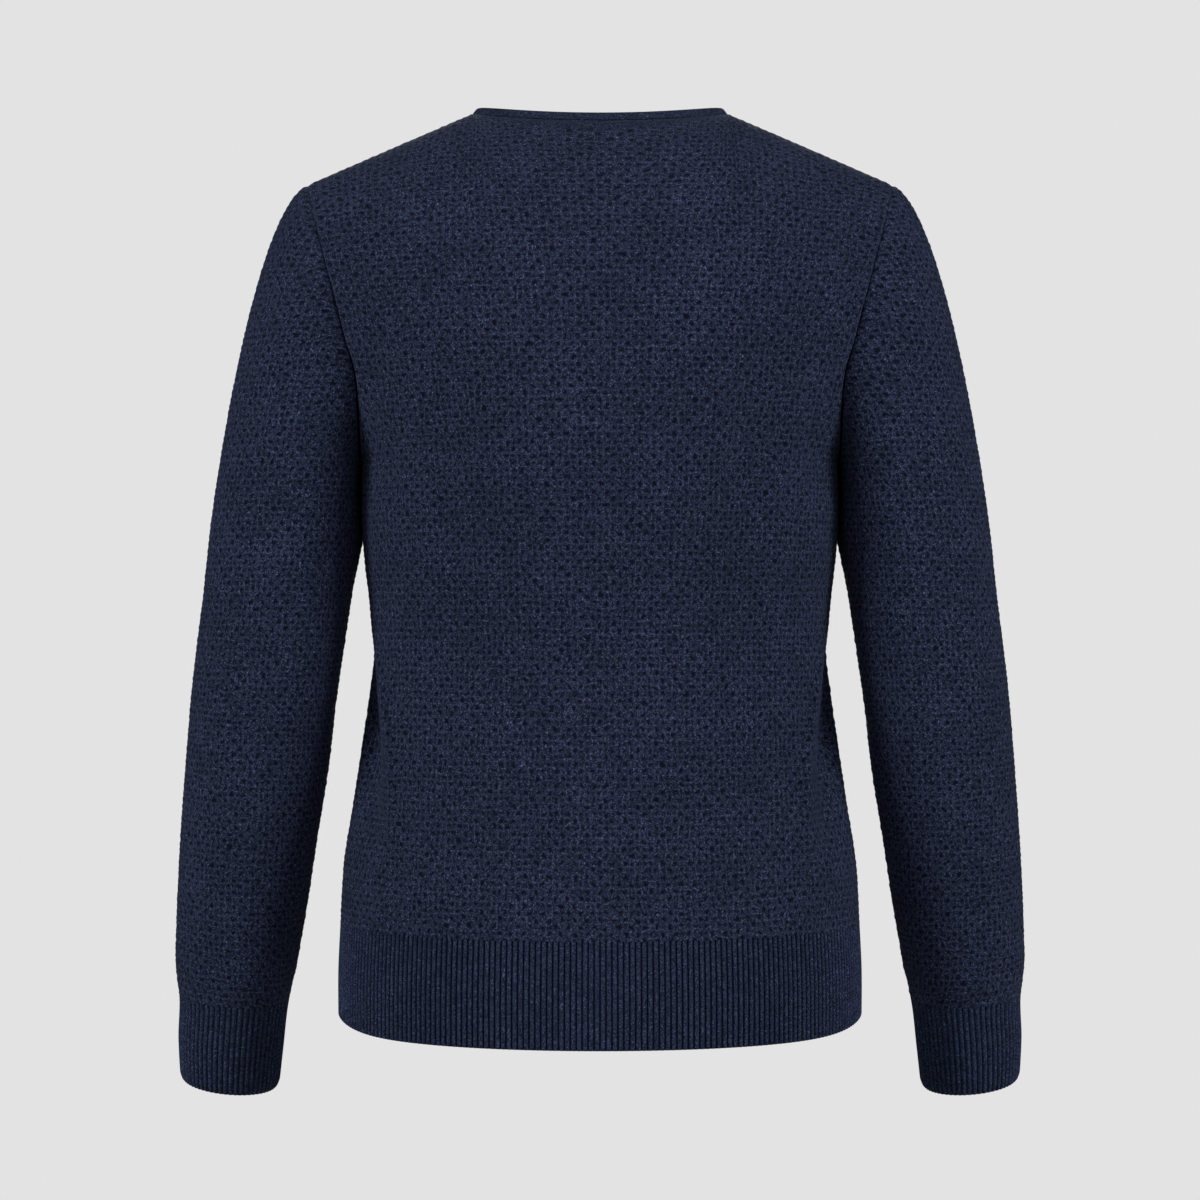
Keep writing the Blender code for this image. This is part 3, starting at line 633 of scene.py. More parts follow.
def build_moss_group():
    """Moss stitch from stitch numbers: a dark speck of painted shade in each stitch, deepest between
    the lumps, and the lumps painted lighter on top.
    """
    group, _, (wale, course, moss), made = new_stitch_group("moss_stitch")
    place = object_place(group)
    ragged = wavering(group, place, 1100.0, 0.6)
    wale = calc(group, "MULTIPLY_ADD", wavering(group, place, 380.0), 1.25, wale)
    course = calc(group, "MULTIPLY_ADD", wavering(group, place, 450.0), 1.1, course)
    waves = []
    for turns in (math.pi, 2 * math.pi):
        across = calc(group, "COSINE", calc(group, "MULTIPLY", wale, turns))
        along = calc(group, "COSINE", calc(group, "MULTIPLY", course, turns))
        waves.append((across, along))
    wave = calc(group, "MULTIPLY", *waves[0])
    near = [calc(group, "MULTIPLY_ADD", value, 0.45, 0.45) for value in waves[1]]
    # Painted shade: a dark speck with a ragged edge at each stitch, where the yarn shades itself
    painted_speck_shade = calc(group, "MULTIPLY_ADD", ragged, 1.7, calc(group, "MULTIPLY", *near))
    painted_speck_shade = ramped(group, painted_speck_shade, 0.10, 0.62)

    cell = group.nodes.new("ShaderNodeCombineXYZ")
    feed(group, cell.inputs[0], calc(group, "ROUND", wale))
    feed(group, cell.inputs[1], calc(group, "ROUND", course))
    chance = group.nodes.new("ShaderNodeTexWhiteNoise")
    chance.noise_dimensions = "2D"
    feed(group, chance.inputs["Vector"], cell.outputs[0])
    # The painted shade is deeper in the pits between the lumps and varies at random from stitch to
    # stitch
    usual = calc(group, "MULTIPLY_ADD", wave, -0.20, 0.24)
    depth = calc(group, "MULTIPLY_ADD", chance.outputs["Value"], 0.72, usual)
    sunk = calc(group, "MULTIPLY", painted_speck_shade, depth, clamp=True)
    # Painted shade in the tone: darker at the specks
    lit = calc(group, "MULTIPLY_ADD", painted_speck_shade, -0.36, 0.66)
    tone_and_painted_light = calc(group, "MULTIPLY_ADD", ragged, 2.2, lit)
    # Painted light on the lumps' tops and painted shade in the pits
    tone_and_painted_light = calc(group, "MULTIPLY_ADD", wave, 0.20, tone_and_painted_light)
    tone_and_painted_light = calc(group, "MULTIPLY", calc(group, "SUBTRACT", tone_and_painted_light, 0.5), moss)

    ply_turn = calc(group, "MULTIPLY_ADD", wale, 17.0, calc(group, "MULTIPLY", course, 9.0))
    ply = calc(group, "MULTIPLY", calc(group, "SINE", ply_turn), 0.15)
    raised = calc(group, "SUBTRACT", calc(group, "ADD", ragged, ply), sunk)
    feed_all(group, made, {
        "Painted Pit Shade": calc(group, "MULTIPLY", sunk, moss),
        "Tint": calc(group, "ADD", tone_and_painted_light, 0.5),
        "Relief": calc(group, "MULTIPLY", raised, moss),
    })
    return group


def build_yarn_group():
    """A soft matt yarn: paler flecks of loose fibre that are partly painted strand highlights, slow
    changes of dye, painted pit shade, and fine fuzz as relief.
    """
    group, given, made = new_group(
        "soft_yarn",
        {"Dye": "Color", "Fibre And Highlight": "Color", "Shade": "Color", "Painted Pit Shade": "Float", "Tint": "Float"},
        {"Color": "Color", "Roughness": "Float", "Fuzz": "Float"},
    )
    place = object_place(group)
    # Paler flecks: loose fibre of a lighter colour, partly painted highlights on the strands
    flecks = speckle(group, place, 760.0, 3.0, 0.6)
    fibre_and_highlight = ramped(group, flecks, 0.42, 0.68)
    dyed = mixed(group, fibre_and_highlight, given.outputs["Dye"], given.outputs["Fibre And Highlight"])
    slow = ramped(group, speckle(group, place, 22.0, 3.0), 0.3, 0.7, 0.92, 1.08)
    frayed = wavering(group, place, 1150.0, 0.6)
    # Tint sets the brightness. It carries random tone, and on the moss also painted light on the lumps
    # and painted shade at the specks
    own = calc(group, "POWER", 9.5, calc(group, "MULTIPLY_ADD", frayed, 2.6, given.outputs["Tint"]))
    level = calc(group, "MULTIPLY", calc(group, "MULTIPLY", slow, own), 0.345)
    grey = group.nodes.new("ShaderNodeCombineColor")
    for socket in grey.inputs:
        feed(group, socket, level)
    varied = mixed(group, 1.0, dyed, grey.outputs["Color"], "MULTIPLY")
    # The pit input mixes the colour towards the painted shade colour
    sunk = calc(group, "MULTIPLY", given.outputs["Painted Pit Shade"], 0.92)
    fuzz = calc(group, "MULTIPLY", speckle(group, place, 2600.0, rough=0.7), 0.5)
    feed_all(group, made, {
        "Color": mixed(group, sunk, varied, given.outputs["Shade"]),
        "Roughness": ramped(group, flecks, 0.3, 0.7, 0.82, 0.96),
        "Fuzz": calc(group, "ADD", fuzz, flecks),
    })
    return group


MOSS_GROUP = build_moss_group()
YARN_GROUP = build_yarn_group()


def new_finish(name):
    """A new material, its nodes and its shader."""
    made = bpy.data.materials.new(name)
    made.use_nodes = True
    return made, made.node_tree, made.node_tree.nodes["Principled BSDF"]


def bumped(tree, height, strength, distance, normal=None):
    node = tree.nodes.new("ShaderNodeBump")
    feed_all(tree, node, {"Height": height, "Strength": strength, "Distance": distance,
                          "Normal": normal})
    return node.outputs["Normal"]


def knit_finish(name, stitch_group, dye, fibre_and_highlight, relief_depth, fuzz_depth):
    """A knitted cloth: the yarn's colour with the stitch's painted pit shade, tints and relief."""
    made, tree, shader = new_finish(name)
    numbers = tree.nodes.new("ShaderNodeAttribute")
    numbers.attribute_name = "stitch"
    stitches = tree.nodes.new("ShaderNodeGroup")
    stitches.node_tree = stitch_group
    feed(tree, stitches.inputs["Stitch"], numbers.outputs["Vector"])
    yarn = tree.nodes.new("ShaderNodeGroup")
    yarn.node_tree = YARN_GROUP
    feed_all(tree, yarn, {
        "Dye": dye, "Fibre And Highlight": fibre_and_highlight, "Shade": NAVY_PAINTED_SHADE,
        "Painted Pit Shade": stitches.outputs["Painted Pit Shade"], "Tint": stitches.outputs["Tint"],
    })
    relief = bumped(tree, stitches.outputs["Relief"], 0.9, relief_depth)
    feed_all(tree, shader, {
        "Base Color": yarn.outputs["Color"],
        "Roughness": yarn.outputs["Roughness"],
        "Normal": bumped(tree, yarn.outputs["Fuzz"], 0.7, fuzz_depth, relief),
        "Specular IOR Level": 0.1,
        "Sheen Weight": 0.05,
        "Sheen Roughness": 0.55,
        "Sheen Tint": (0.55, 0.62, 0.82, 1.0),
    })
    return made


# The colour of the painted shade in the pits and grooves
NAVY_PAINTED_SHADE = (0.0020, 0.0032, 0.0160, 1.0)
MOSS_DYE = (0.0105, 0.0150, 0.0365, 1.0)
MOSS_FIBRE_AND_HIGHLIGHT = (0.0290, 0.0360, 0.0660, 1.0)
MOSS_FINISH = knit_finish("navy_moss_knit", MOSS_GROUP, MOSS_DYE, MOSS_FIBRE_AND_HIGHLIGHT, 0.0004, 0.00012)


def body_levels():
    """The v of each row of stitches between the hem rib and the yoke line."""
    low = HEM_TOP + SEAM_GAP / 2
    count = round((YOKE - low) / COURSE_HEIGHT) * ROWS_PER_COURSE
    heights = np.linspace(low, YOKE, count + 1)
    return height_level(heights), WALE_WIDTH * STRETCH["wide"](heights)


def on_neck(u):
    return (np.abs(u) < NECK_SHARE).astype(float)


TOP_LEVEL = 3 - SEAM_GAP / YOKE_LENGTH
BACK_SHARE = 1 - SEAM_GAP / HALF_BACK_LENGTH
BACK = Surface(
    at=lambda u, v: panel_point(1.0, np.where(u < 0, -1.0, 1.0), 0.0, np.abs(u), v),
    u_limits=(-BACK_SHARE, BACK_SHARE),
    v_limits=(0.0, TOP_LEVEL),
    outward=-1.0,
)
back_knitting = lay_stitches(BACK, *body_levels())
back = moss_wall("back_panel", BACK, back_knitting, lambda p, u: body_creases(p), 3, on_neck,
                 MOSS_FINISH)
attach(back, "root")
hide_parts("back")


# ---- The two fronts ----
# Two more moss-stitch panels in the same yarn, one on each side of the button bands. They are
# linked to the back at the side and shoulder seams.
UNDER_HALF = 0.0135
FRONT_LENGTH = 0.17
FRONT_START = SEAM_GAP / FRONT_LENGTH


def front_surface(x_side):
    return Surface(
        at=lambda u, v: panel_point(-1.0, x_side, UNDER_HALF, u, v),
        u_limits=(FRONT_START, 1 - FRONT_START),
        v_limits=(0.0, TOP_LEVEL),
        outward=x_side,
    )


for part, x_side, seed in (("left", 1.0, 11), ("right", -1.0, 17)):
    surface = front_surface(x_side)
    knitting = lay_stitches(surface, *body_levels())
    front = moss_wall(f"front_panel_{part}", surface, knitting, lambda p, u: body_creases(p), seed,
                      on_neck, MOSS_FINISH)
    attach(front, "root")
    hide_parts(f"front_{part}")


# ---- The sleeves ----
# Each sleeve is a moss-stitch tube, closed by a seam under the arm and set into the armhole with
# a linked seam. It hangs slightly forward and blouses a little over the cuff.
CUFF_TOP = -0.5830
SLEEVE_HEAD_LENGTH = 0.10
SLEEVE_TURN_RADIUS = 0.048
SLEEVE_SLANT = 1.03
DRIFT_STEP = 0.01
TUBE_LIMITS = (-0.9998, 0.9998)

# The inner and outer edge, the centre and half depth front to back, and the tip of the section
SLEEVE_ROWS = table(
    "z inner outer centre_y half_depth tip_out tip_fore",
    (-0.2825, 0.1584, 0.2576, 0.0020, 0.0525, 0.0000, 0.0000),
    (-0.3205, 0.1643, 0.2614, 0.0035, 0.0515, 0.0000, 0.0000),
    (-0.3469, 0.1683, 0.2647, 0.0040, 0.0505, 0.0005, 0.0005),
    (-0.3865, 0.1742, 0.2693, 0.0025, 0.0490, 0.0010, 0.0010),
    (-0.4261, 0.1791, 0.2731, -0.0020, 0.0475, 0.0015, 0.0020),
    (-0.4797, 0.1883, 0.2779, -0.0100, 0.0450, 0.0020, 0.0030),
    (-0.5202, 0.1950, 0.2809, -0.0170, 0.0430, 0.0025, 0.0040),
    (-0.5473, 0.2001, 0.2823, -0.0210, 0.0412, 0.0030, 0.0040),
    (-0.5608, 0.2026, 0.2829, -0.0230, 0.0400, 0.0030, 0.0040),
    (-0.5743, 0.2060, 0.2820, -0.0250, 0.0380, 0.0030, 0.0040),
    (-0.5830, 0.2080, 0.2810, -0.0262, 0.0366, 0.0030, 0.0040),
    (-0.6153, 0.2123, 0.2819, -0.0300, 0.0348, 0.0033, 0.0040),
    (-0.6425, 0.2156, 0.2811, -0.0335, 0.0330, 0.0035, 0.0040),
)
SLEEVE_TOP = SLEEVE_ROWS[0].z

# How the sleeve head leaves the armhole, from the armpit (0) to the shoulder tip (180)
HEAD_ROWS = table(
    "angle out aside down end_down",
    (0, 0.0080, 0.0000, 0.0550, 0.0500),
    (45, 0.0350, 0.0120, 0.0500, 0.0800),
    (90, 0.0750, 0.0060, 0.0700, 0.1200),
    (135, 0.0950, 0.0000, 0.0600, 0.1100),
    (180, 0.1060, 0.0000, 0.0455, 0.1000),
)

# Creases of the sleeves: the turn is 0 at the outer edge, negative on the back
SLEEVE_CREASES = {
    "left": table(
        CREASE_FIELDS,
        (-95.0, -0.150, -40.0, -0.215, 0.010, 0.0016),
        (-120.0, -0.255, -50.0, -0.290, 0.011, 0.0018),
        (-30.0, -0.262, -80.0, -0.342, 0.010, 0.0013),
        (-125.0, -0.345, -60.0, -0.372, 0.009, 0.0012),
        (-20.0, -0.400, -55.0, -0.478, 0.011, 0.0009),
        (-110.0, -0.500, -40.0, -0.522, 0.008, 0.0009),
        (-60.0, -0.560, -130.0, -0.548, 0.006, 0.0010),
        (90.0, -0.160, 45.0, -0.225, 0.010, 0.0015),
        (125.0, -0.270, 60.0, -0.305, 0.010, 0.0016),
        (40.0, -0.330, 95.0, -0.395, 0.011, 0.0012),
        (110.0, -0.470, 50.0, -0.505, 0.009, 0.0010),
        (50.0, -0.556, 120.0, -0.562, 0.006, 0.0010),
        (157.0, -0.207, 163.0, -0.292, 0.011, -0.0036),
    ),
    "right": table(
        CREASE_FIELDS,
        (-90.0, -0.142, -45.0, -0.205, 0.011, 0.0017),
        (-125.0, -0.240, -60.0, -0.268, 0.010, 0.0015),
        (-40.0, -0.248, -95.0, -0.318, 0.011, 0.0014),
        (-120.0, -0.360, -45.0, -0.395, 0.010, 0.0013),
        (-25.0, -0.440, -70.0, -0.505, 0.010, 0.0009),
        (-115.0, -0.532, -50.0, -0.520, 0.008, 0.0008),
        (-45.0, -0.566, -115.0, -0.556, 0.006, 0.0010),
        (85.0, -0.170, 50.0, -0.232, 0.010, 0.0014),
        (120.0, -0.262, 55.0, -0.290, 0.011, 0.0017),
        (35.0, -0.345, 90.0, -0.410, 0.010, 0.0011),
        (115.0, -0.455, 60.0, -0.488, 0.009, 0.0010),
        (45.0, -0.560, 125.0, -0.552, 0.006, 0.0009),
        (157.0, -0.207, 163.0, -0.293, 0.011, -0.0036),
    ),
}
SLEEVE = columns(SLEEVE_ROWS, "z")
HEAD = columns(HEAD_ROWS, "angle")


def armhole_point(x_side, angle):
    """The armhole's seam line, from the armpit (0) up the back to the tip (180) and round."""
    side = np.where(angle <= 180, 1.0, -1.0)
    climb = np.where(angle <= 180, angle, 360 - angle)
    inner_x = np.where(side > 0, 0.0, UNDER_HALF)
    return panel_point(side, x_side, inner_x, 1.0, 1 + climb / 90)


def sleeve_section(x_side, angle, z):
    """A point of the sleeve's section at height z; the angle is 0 at its inner edge."""
    turn = np.radians(angle)
    inner, outer = SLEEVE["inner"](z), SLEEVE["outer"](z)
    wide = -np.cos(turn)
    deep = np.sin(turn)
    x = (inner + outer) / 2 + wide * (outer - inner) / 2
    y = SLEEVE["centre_y"](z) + deep * SLEEVE["half_depth"](z)
    return point(x_side * x, y, z + wide * SLEEVE["tip_out"](z) - deep * SLEEVE["tip_fore"](z))


def sleeve_point(x_side, angle, w):
    """A point of the sleeve, w from 0 at the armhole to 1 at the tube's top and 2 at the cuff."""
    angle, w = np.broadcast_arrays(np.asarray(angle, float), np.asarray(w, float))
    climb = np.where(angle <= 180, angle, 360 - angle)
    aside = np.where(angle <= 180, 1.0, -1.0)
    end = sleeve_section(x_side, angle, SLEEVE_TOP)
    leave = point(x_side * HEAD["out"](climb), aside * HEAD["aside"](climb), -HEAD["down"](climb))
    drift = (sleeve_section(x_side, angle, SLEEVE_TOP - DRIFT_STEP) - end) / DRIFT_STEP
    arrive = drift * HEAD["end_down"](climb)[..., None]
    head = hermite(armhole_point(x_side, angle), leave, end, arrive, np.clip(w, 0, 1))
    z = SLEEVE_TOP + np.clip(w - 1, 0, 1) * (CUFF_TOP - SLEEVE_TOP)
    return np.where((w <= 1)[..., None], head, sleeve_section(x_side, angle, z))


def sleeve_surface(x_side):
    return Surface(
        at=lambda u, v: sleeve_point(x_side, 180 + 180 * u, 2 - v),
        u_limits=TUBE_LIMITS,
        v_limits=(SEAM_GAP, 2 - SEAM_GAP / SLEEVE_HEAD_LENGTH),
        outward=-x_side,
    )


def sleeve_levels():
    count = round((SLEEVE_TOP - CUFF_TOP) * SLEEVE_SLANT / COURSE_HEIGHT) * ROWS_PER_COURSE
    levels = np.linspace(SEAM_GAP, 1, count + 1)
    return levels, np.full(count + 1, WALE_WIDTH)


for part, x_side, seed in (("left", 1.0, 23), ("right", -1.0, 29)):
    surface = sleeve_surface(x_side)
    knitting = lay_stitches(surface, *sleeve_levels())
    creases = SLEEVE_CREASES[part]
    sleeve = moss_wall(
        f"sleeve_tube_{part}", surface, knitting,
        lambda p, u: crease_depth(creases, 180 * u, p[..., 2], SLEEVE_TURN_RADIUS),
        seed, lambda u: np.zeros_like(u), MOSS_FINISH,
    )
    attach(sleeve, "root")
    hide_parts(f"sleeve_{part}")


# ---- The cuffs ----
# Narrow tubes of rib knit, one plain rib and one sunken one in turn, which draw the sleeve in.
# The same yarn, knitted on to the sleeve without a seam and closed under the arm.
RIB_WALL = 0.0024
RIB_WIDTH = 0.0037
RIB_DEPTH = 0.0011
RIB_GROOVE = 0.19
COLUMNS_PER_RIB = 8
RIB_COURSE = 0.0030
RIB_SAMPLES = 1201
CUFF_BOTTOM = SLEEVE_ROWS[-1].z
CUFF_DRAW = 0.0014
CUFF_EDGE = 0.0032
# How strongly the cuffs' grooves are painted in shade
CUFF_SHADE = 0.55
EDGE_ROLL = 0.0008
RIB_DYE = (0.0160, 0.0245, 0.0575, 1.0)
RIB_FIBRE_AND_HIGHLIGHT = (0.0385, 0.0525, 0.0980, 1.0)


def chained(tree, course, lean):
    """Rises and falls once in each course, shifted by the lean of the stitch's leg."""
    turn = calc(tree, "MULTIPLY", calc(tree, "ADD", course, lean), 2 * math.pi)
    return calc(tree, "SINE", turn)


def build_rib_group():
    """Rib knit from stitch numbers: painted shade in the grooves, a tint along each rib and small V
    stitches.
    """
    group, _, (rib, course, shade), made = new_stitch_group("rib_stitch")
    beside = calc(group, "PINGPONG", rib, 0.5)
    # Painted shade in the grooves between the ribs
    painted_groove_shade = ramped(group, beside, 0.27, 0.06)
    place = group.nodes.new("ShaderNodeCombineXYZ")
    feed(group, place.inputs[0], calc(group, "FLOOR", rib))
    feed(group, place.inputs[1], calc(group, "MULTIPLY", course, 0.35))
    changing = speckle(group, place.outputs[0], 1.0)
    aside = calc(group, "ABSOLUTE", calc(group, "SUBTRACT", beside, 0.26))
    chain = chained(group, course, calc(group, "MULTIPLY", aside, 3.0))
    feed_all(group, made, {
        "Painted Pit Shade": calc(group, "MULTIPLY", painted_groove_shade, shade),
        "Tint": calc(group, "MULTIPLY_ADD", changing, 0.5, 0.27),
        "Relief": calc(group, "MULTIPLY", chain, 0.5),
    })
    return group


RIB_GROUP = build_rib_group()
RIB_FINISH = knit_finish("navy_rib_knit", RIB_GROUP, RIB_DYE, RIB_FIBRE_AND_HIGHLIGHT, 0.0003, 0.0001)


def rib_lift(phase):
    """Depth of the rib knit: a rounded rib between sunken grooves at the whole numbers."""
    beside = np.abs(phase - np.rint(phase))
    crown = 0.18 * np.cos(math.pi * (beside - 0.5)) ** 2
    return -bell(beside, RIB_GROOVE) + crown


def rib_wall(name, surface, rows, wall=RIB_WALL, raise_by=0.0, inner_v=8, shade=1.0):
    """A ribbed wall over a surface, in ribs of equal width with a groove at both ends."""
    fine = np.linspace(*surface.u_limits, RIB_SAMPLES)
    running = lengths_along(surface.at(fine, 0 * fine + rows[len(rows) // 2]), 0)
    ribs = round(running[-1] / RIB_WIDTH)
    phases = np.arange(ribs * COLUMNS_PER_RIB + 1) / COLUMNS_PER_RIB
    shares = np.interp(phases / ribs * running[-1], running, fine)
    u, v = np.meshgrid(shares, rows)
    base = surface.at(u, v)
    out = facing(surface, u, v)
    climb = lengths_along(base, 0)
    roll = bell(climb, EDGE_ROLL)
    lift = RIB_DEPTH * rib_lift(np.broadcast_to(phases, u.shape)) * (1 - 0.5 * roll)
    outer = base + out * (raise_by + lift - EDGE_ROLL * roll)[..., None]
    pick = np.unique(np.linspace(0, phases.size - 1, max(phases.size // 12, 5)).astype(int))
    lines = np.unique(np.linspace(0, len(rows) - 1, inner_v).astype(int))
    inside = np.ix_(lines, pick)
    inner = (base + out * (raise_by - wall))[inside]
    stitch = point(phases, climb / RIB_COURSE, np.full_like(u, shade))
    owner = np.arange(u.size).reshape(u.shape)
    return cloth_wall(name, outer, owner, inner, stitch, stitch[inside], RIB_FINISH), base


def cuff_surface(x_side):
    def at(u, v):
        z = CUFF_BOTTOM + (CUFF_TOP - CUFF_BOTTOM) * v
        tube = sleeve_section(x_side, 180 + 180 * u, z)
        axis = 0.5 * (sleeve_section(x_side, 90.0, z) + sleeve_section(x_side, 270.0, z))
        spoke = tube - axis
        drawn = CUFF_DRAW * bell(z - CUFF_BOTTOM, CUFF_EDGE)[..., None]
        return tube - spoke / np.linalg.norm(spoke, axis=-1, keepdims=True) * drawn

    return Surface(at=at, u_limits=TUBE_LIMITS, v_limits=(0.0, 1.0), outward=-x_side)


# Rows of points, close together at the lower edge, which stop just short of the sleeve
CUFF_ROWS = np.concatenate([[0.0, 0.008, 0.02], np.linspace(0.045, 1 - 0.0008, 26)])
for part, x_side in (("left", 1.0), ("right", -1.0)):
    cuff, base = rib_wall(f"cuff_rib_{part}", cuff_surface(x_side), CUFF_ROWS, shade=CUFF_SHADE)
    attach(cuff, "root")
    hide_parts(f"cuff_{part}")


# ---- The hem rib ----
# The same rib knit in three stretches, one below the back and one below each front, joined at
# the side seams. It holds the hem close to the hips and its lower edge rises at the sides.
HEM_SIDE_RISE = 0.0065
HEM_SIDE_REACH = math.radians(24)
HEM_HALF_LENGTH = 0.225


def hem_surface(side, x_side, inner_x, limits, outward):
    def at(u, v):
        sign = np.where(u < 0, -1.0, 1.0) if x_side is None else x_side
        z = HEM_BOTTOM + (HEM_TOP - HEM_BOTTOM) * v
        turn = row_turn(side, inner_x, np.abs(u), z)
        raised = HEM_SIDE_RISE * bell(math.pi / 2 - turn, HEM_SIDE_REACH) * (1 - v) ** 2
        return body_row(side, sign, turn, z) + point(0.0, 0.0, raised)

    return Surface(at=at, u_limits=limits, v_limits=(0.0, 1.0), outward=outward)


HEM_SHARE = 1 - SEAM_GAP / HEM_HALF_LENGTH
FRONT_HEM = (1 - HEM_SHARE, HEM_SHARE)
HEM_ROWS = np.concatenate([[0.0, 0.006, 0.015], np.linspace(0.035, 1 - 0.0004, 30)])
HEMS = (
    ("back", hem_surface(1.0, None, 0.0, (-HEM_SHARE, HEM_SHARE), -1.0), ["back_panel"]),
    ("left", hem_surface(-1.0, 1.0, UNDER_HALF, FRONT_HEM, 1.0), ["front_panel_left"]),
    ("right", hem_surface(-1.0, -1.0, UNDER_HALF, FRONT_HEM, -1.0), ["front_panel_right"]),
)
for part, surface, above in HEMS:
    hem, base = rib_wall(f"hem_rib_{part}", surface, HEM_ROWS)
    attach(hem, "root")
    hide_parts(f"hem_{part}")


# ---- The neck band ----
# A narrow, doubled band of plain knit, rounded over at its top and linked round the neck edge.
# It stops at centre front, where the button bands pass.
NECK_BAND_HEIGHT = 0.0062
NECK_WALL = 0.0030
BAND_LEAN_SIDE = math.radians(52)
BAND_LEAN_CENTRE = math.radians(63)
BAND_BULGE = 0.0003
FOOT_CUT = 0.8
NECK_STATIONS = 420
NECK_AROUND = 24
PLAIN_WALE = 0.0022
PLAIN_COURSE = PLAIN_WALE / 1.3
PLAIN_DYE = (0.0160, 0.0235, 0.0540, 1.0)
PLAIN_FIBRE_AND_HIGHLIGHT = (0.0350, 0.0455, 0.0830, 1.0)


def build_plain_group():
    """Fine plain knit from stitch numbers: small V stitches in close wales, with painted shade between
    the wales.
    """
    group, stitch, (wale, course, _), made = new_stitch_group("plain_stitch")
    beside = calc(group, "PINGPONG", wale, 0.5)
    chain = chained(group, course, calc(group, "MULTIPLY", beside, 1.6))
    ridge = calc(group, "SINE", calc(group, "MULTIPLY", beside, math.pi))
    feed_all(group, made, {
        # Painted shade in the grooves between the wales
        "Painted Pit Shade": ramped(group, beside, 0.16, 0.0, 0.0, 0.55),
        "Tint": speckle(group, stitch, 0.9),
        "Relief": calc(group, "ADD", ridge, calc(group, "MULTIPLY", chain, 0.4)),
    })
    return group


PLAIN_GROUP = build_plain_group()
PLAIN_FINISH = knit_finish("navy_plain_knit", PLAIN_GROUP, PLAIN_DYE, PLAIN_FIBRE_AND_HIGHLIGHT, 0.0003, 0.0001)


def band_lean(turn):
    """The slope of the band, steeper at the centre lines than at the neck points."""
    return BAND_LEAN_SIDE + (BAND_LEAN_CENTRE - BAND_LEAN_SIDE) * np.cos(turn)


def band_point(side, x_side, turn, up):
    """A point of the neck band, up from 0 at the neck edge to 1 at the band's top."""
    lean = band_lean(turn)
    inward = point(-x_side * np.sin(turn), -side * np.cos(turn), 0.0)
    direction = inward * np.cos(lean)[..., None] + point(0.0, 0.0, np.sin(lean))
    return neck_point(side, x_side, turn) + direction * (up * NECK_BAND_HEIGHT)[..., None]


def round_neck(u):
    """The side and turn of the neck edge at a share of the way from centre back."""
    degrees = np.abs(u) * 180
    side = np.where(degrees <= 90, 1.0, -1.0)
    return side, np.radians(np.where(degrees <= 90, degrees, 180 - degrees))


def neck_surface():
    def at(u, v):
        side, turn = round_neck(u)
        return band_point(side, np.where(u < 0, -1.0, 1.0), turn, v)

    end = 1 - math.asin((UNDER_HALF + SEAM_GAP) / NECK_HALF) / math.pi
    return Surface(at=at, u_limits=(-end, end), v_limits=(0.0, 1.0), outward=-1.0)


def rounded_section(height, wall, bulge, count):
    """Points round a flat section with a square foot and a rounded top: up and out from its face."""
    turn = np.linspace(-math.pi / 2, 1.5 * math.pi, count, endpoint=False)
    squarish = np.where(np.sin(turn) < 0, 0.15, 0.62)
    up = np.sign(np.sin(turn)) * np.abs(np.sin(turn)) ** squarish
    out = np.sign(np.cos(turn)) * np.abs(np.cos(turn)) ** squarish
    return height * (0.5 + 0.5 * up), -wall / 2 + (wall / 2 + bulge) * out


NECK = neck_surface()
up, out = rounded_section(NECK_BAND_HEIGHT - SEAM_GAP, NECK_WALL, BAND_BULGE, NECK_AROUND)
stations = np.linspace(*NECK.u_limits, NECK_STATIONS)
section_up, station = np.meshgrid(up + SEAM_GAP, stations)
side, turn = round_neck(station)
slant = FOOT_CUT * np.tan(band_lean(turn) - neck_lean(side, turn))
foot = slant * (1 - section_up / NECK_BAND_HEIGHT) * np.minimum(out, 0)
rings = NECK.at(station, (section_up + foot) / NECK_BAND_HEIGHT)
rings = rings + facing(NECK, station, section_up) * out[None, :, None]
stitch = point(lengths_along(rings, 0) / PLAIN_WALE, lengths_along(rings, 1) / PLAIN_COURSE, 1.0)
owner = np.arange(NECK_STATIONS * NECK_AROUND).reshape(NECK_STATIONS, NECK_AROUND)
faces = grid_faces(np.hstack([owner, owner[:, :1]]))
faces += [owner[0].tolist(), owner[-1].tolist()]
neck_band = stitched_mesh("neck_trim", rings.reshape(-1, 3), faces, stitch, math.radians(60),
                          PLAIN_FINISH)
neck_length = float(lengths_along(NECK.at(stations, 0 * stations), 0)[-1])
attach(neck_band, "root")
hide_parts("neck_band")


# ---- The front bands ----
# Two narrow ribbed bands down the opening, one for the buttons and, over it, one for the
# buttonholes. They are linked to the fronts and run from the hem to the top of the neck.
BAND_WALL = 0.0022
BAND_GAP = 0.0003
OVER_HALF = 0.0155
UNDER_SUNK = 0.0002
STRIP_SAMPLES = 2001


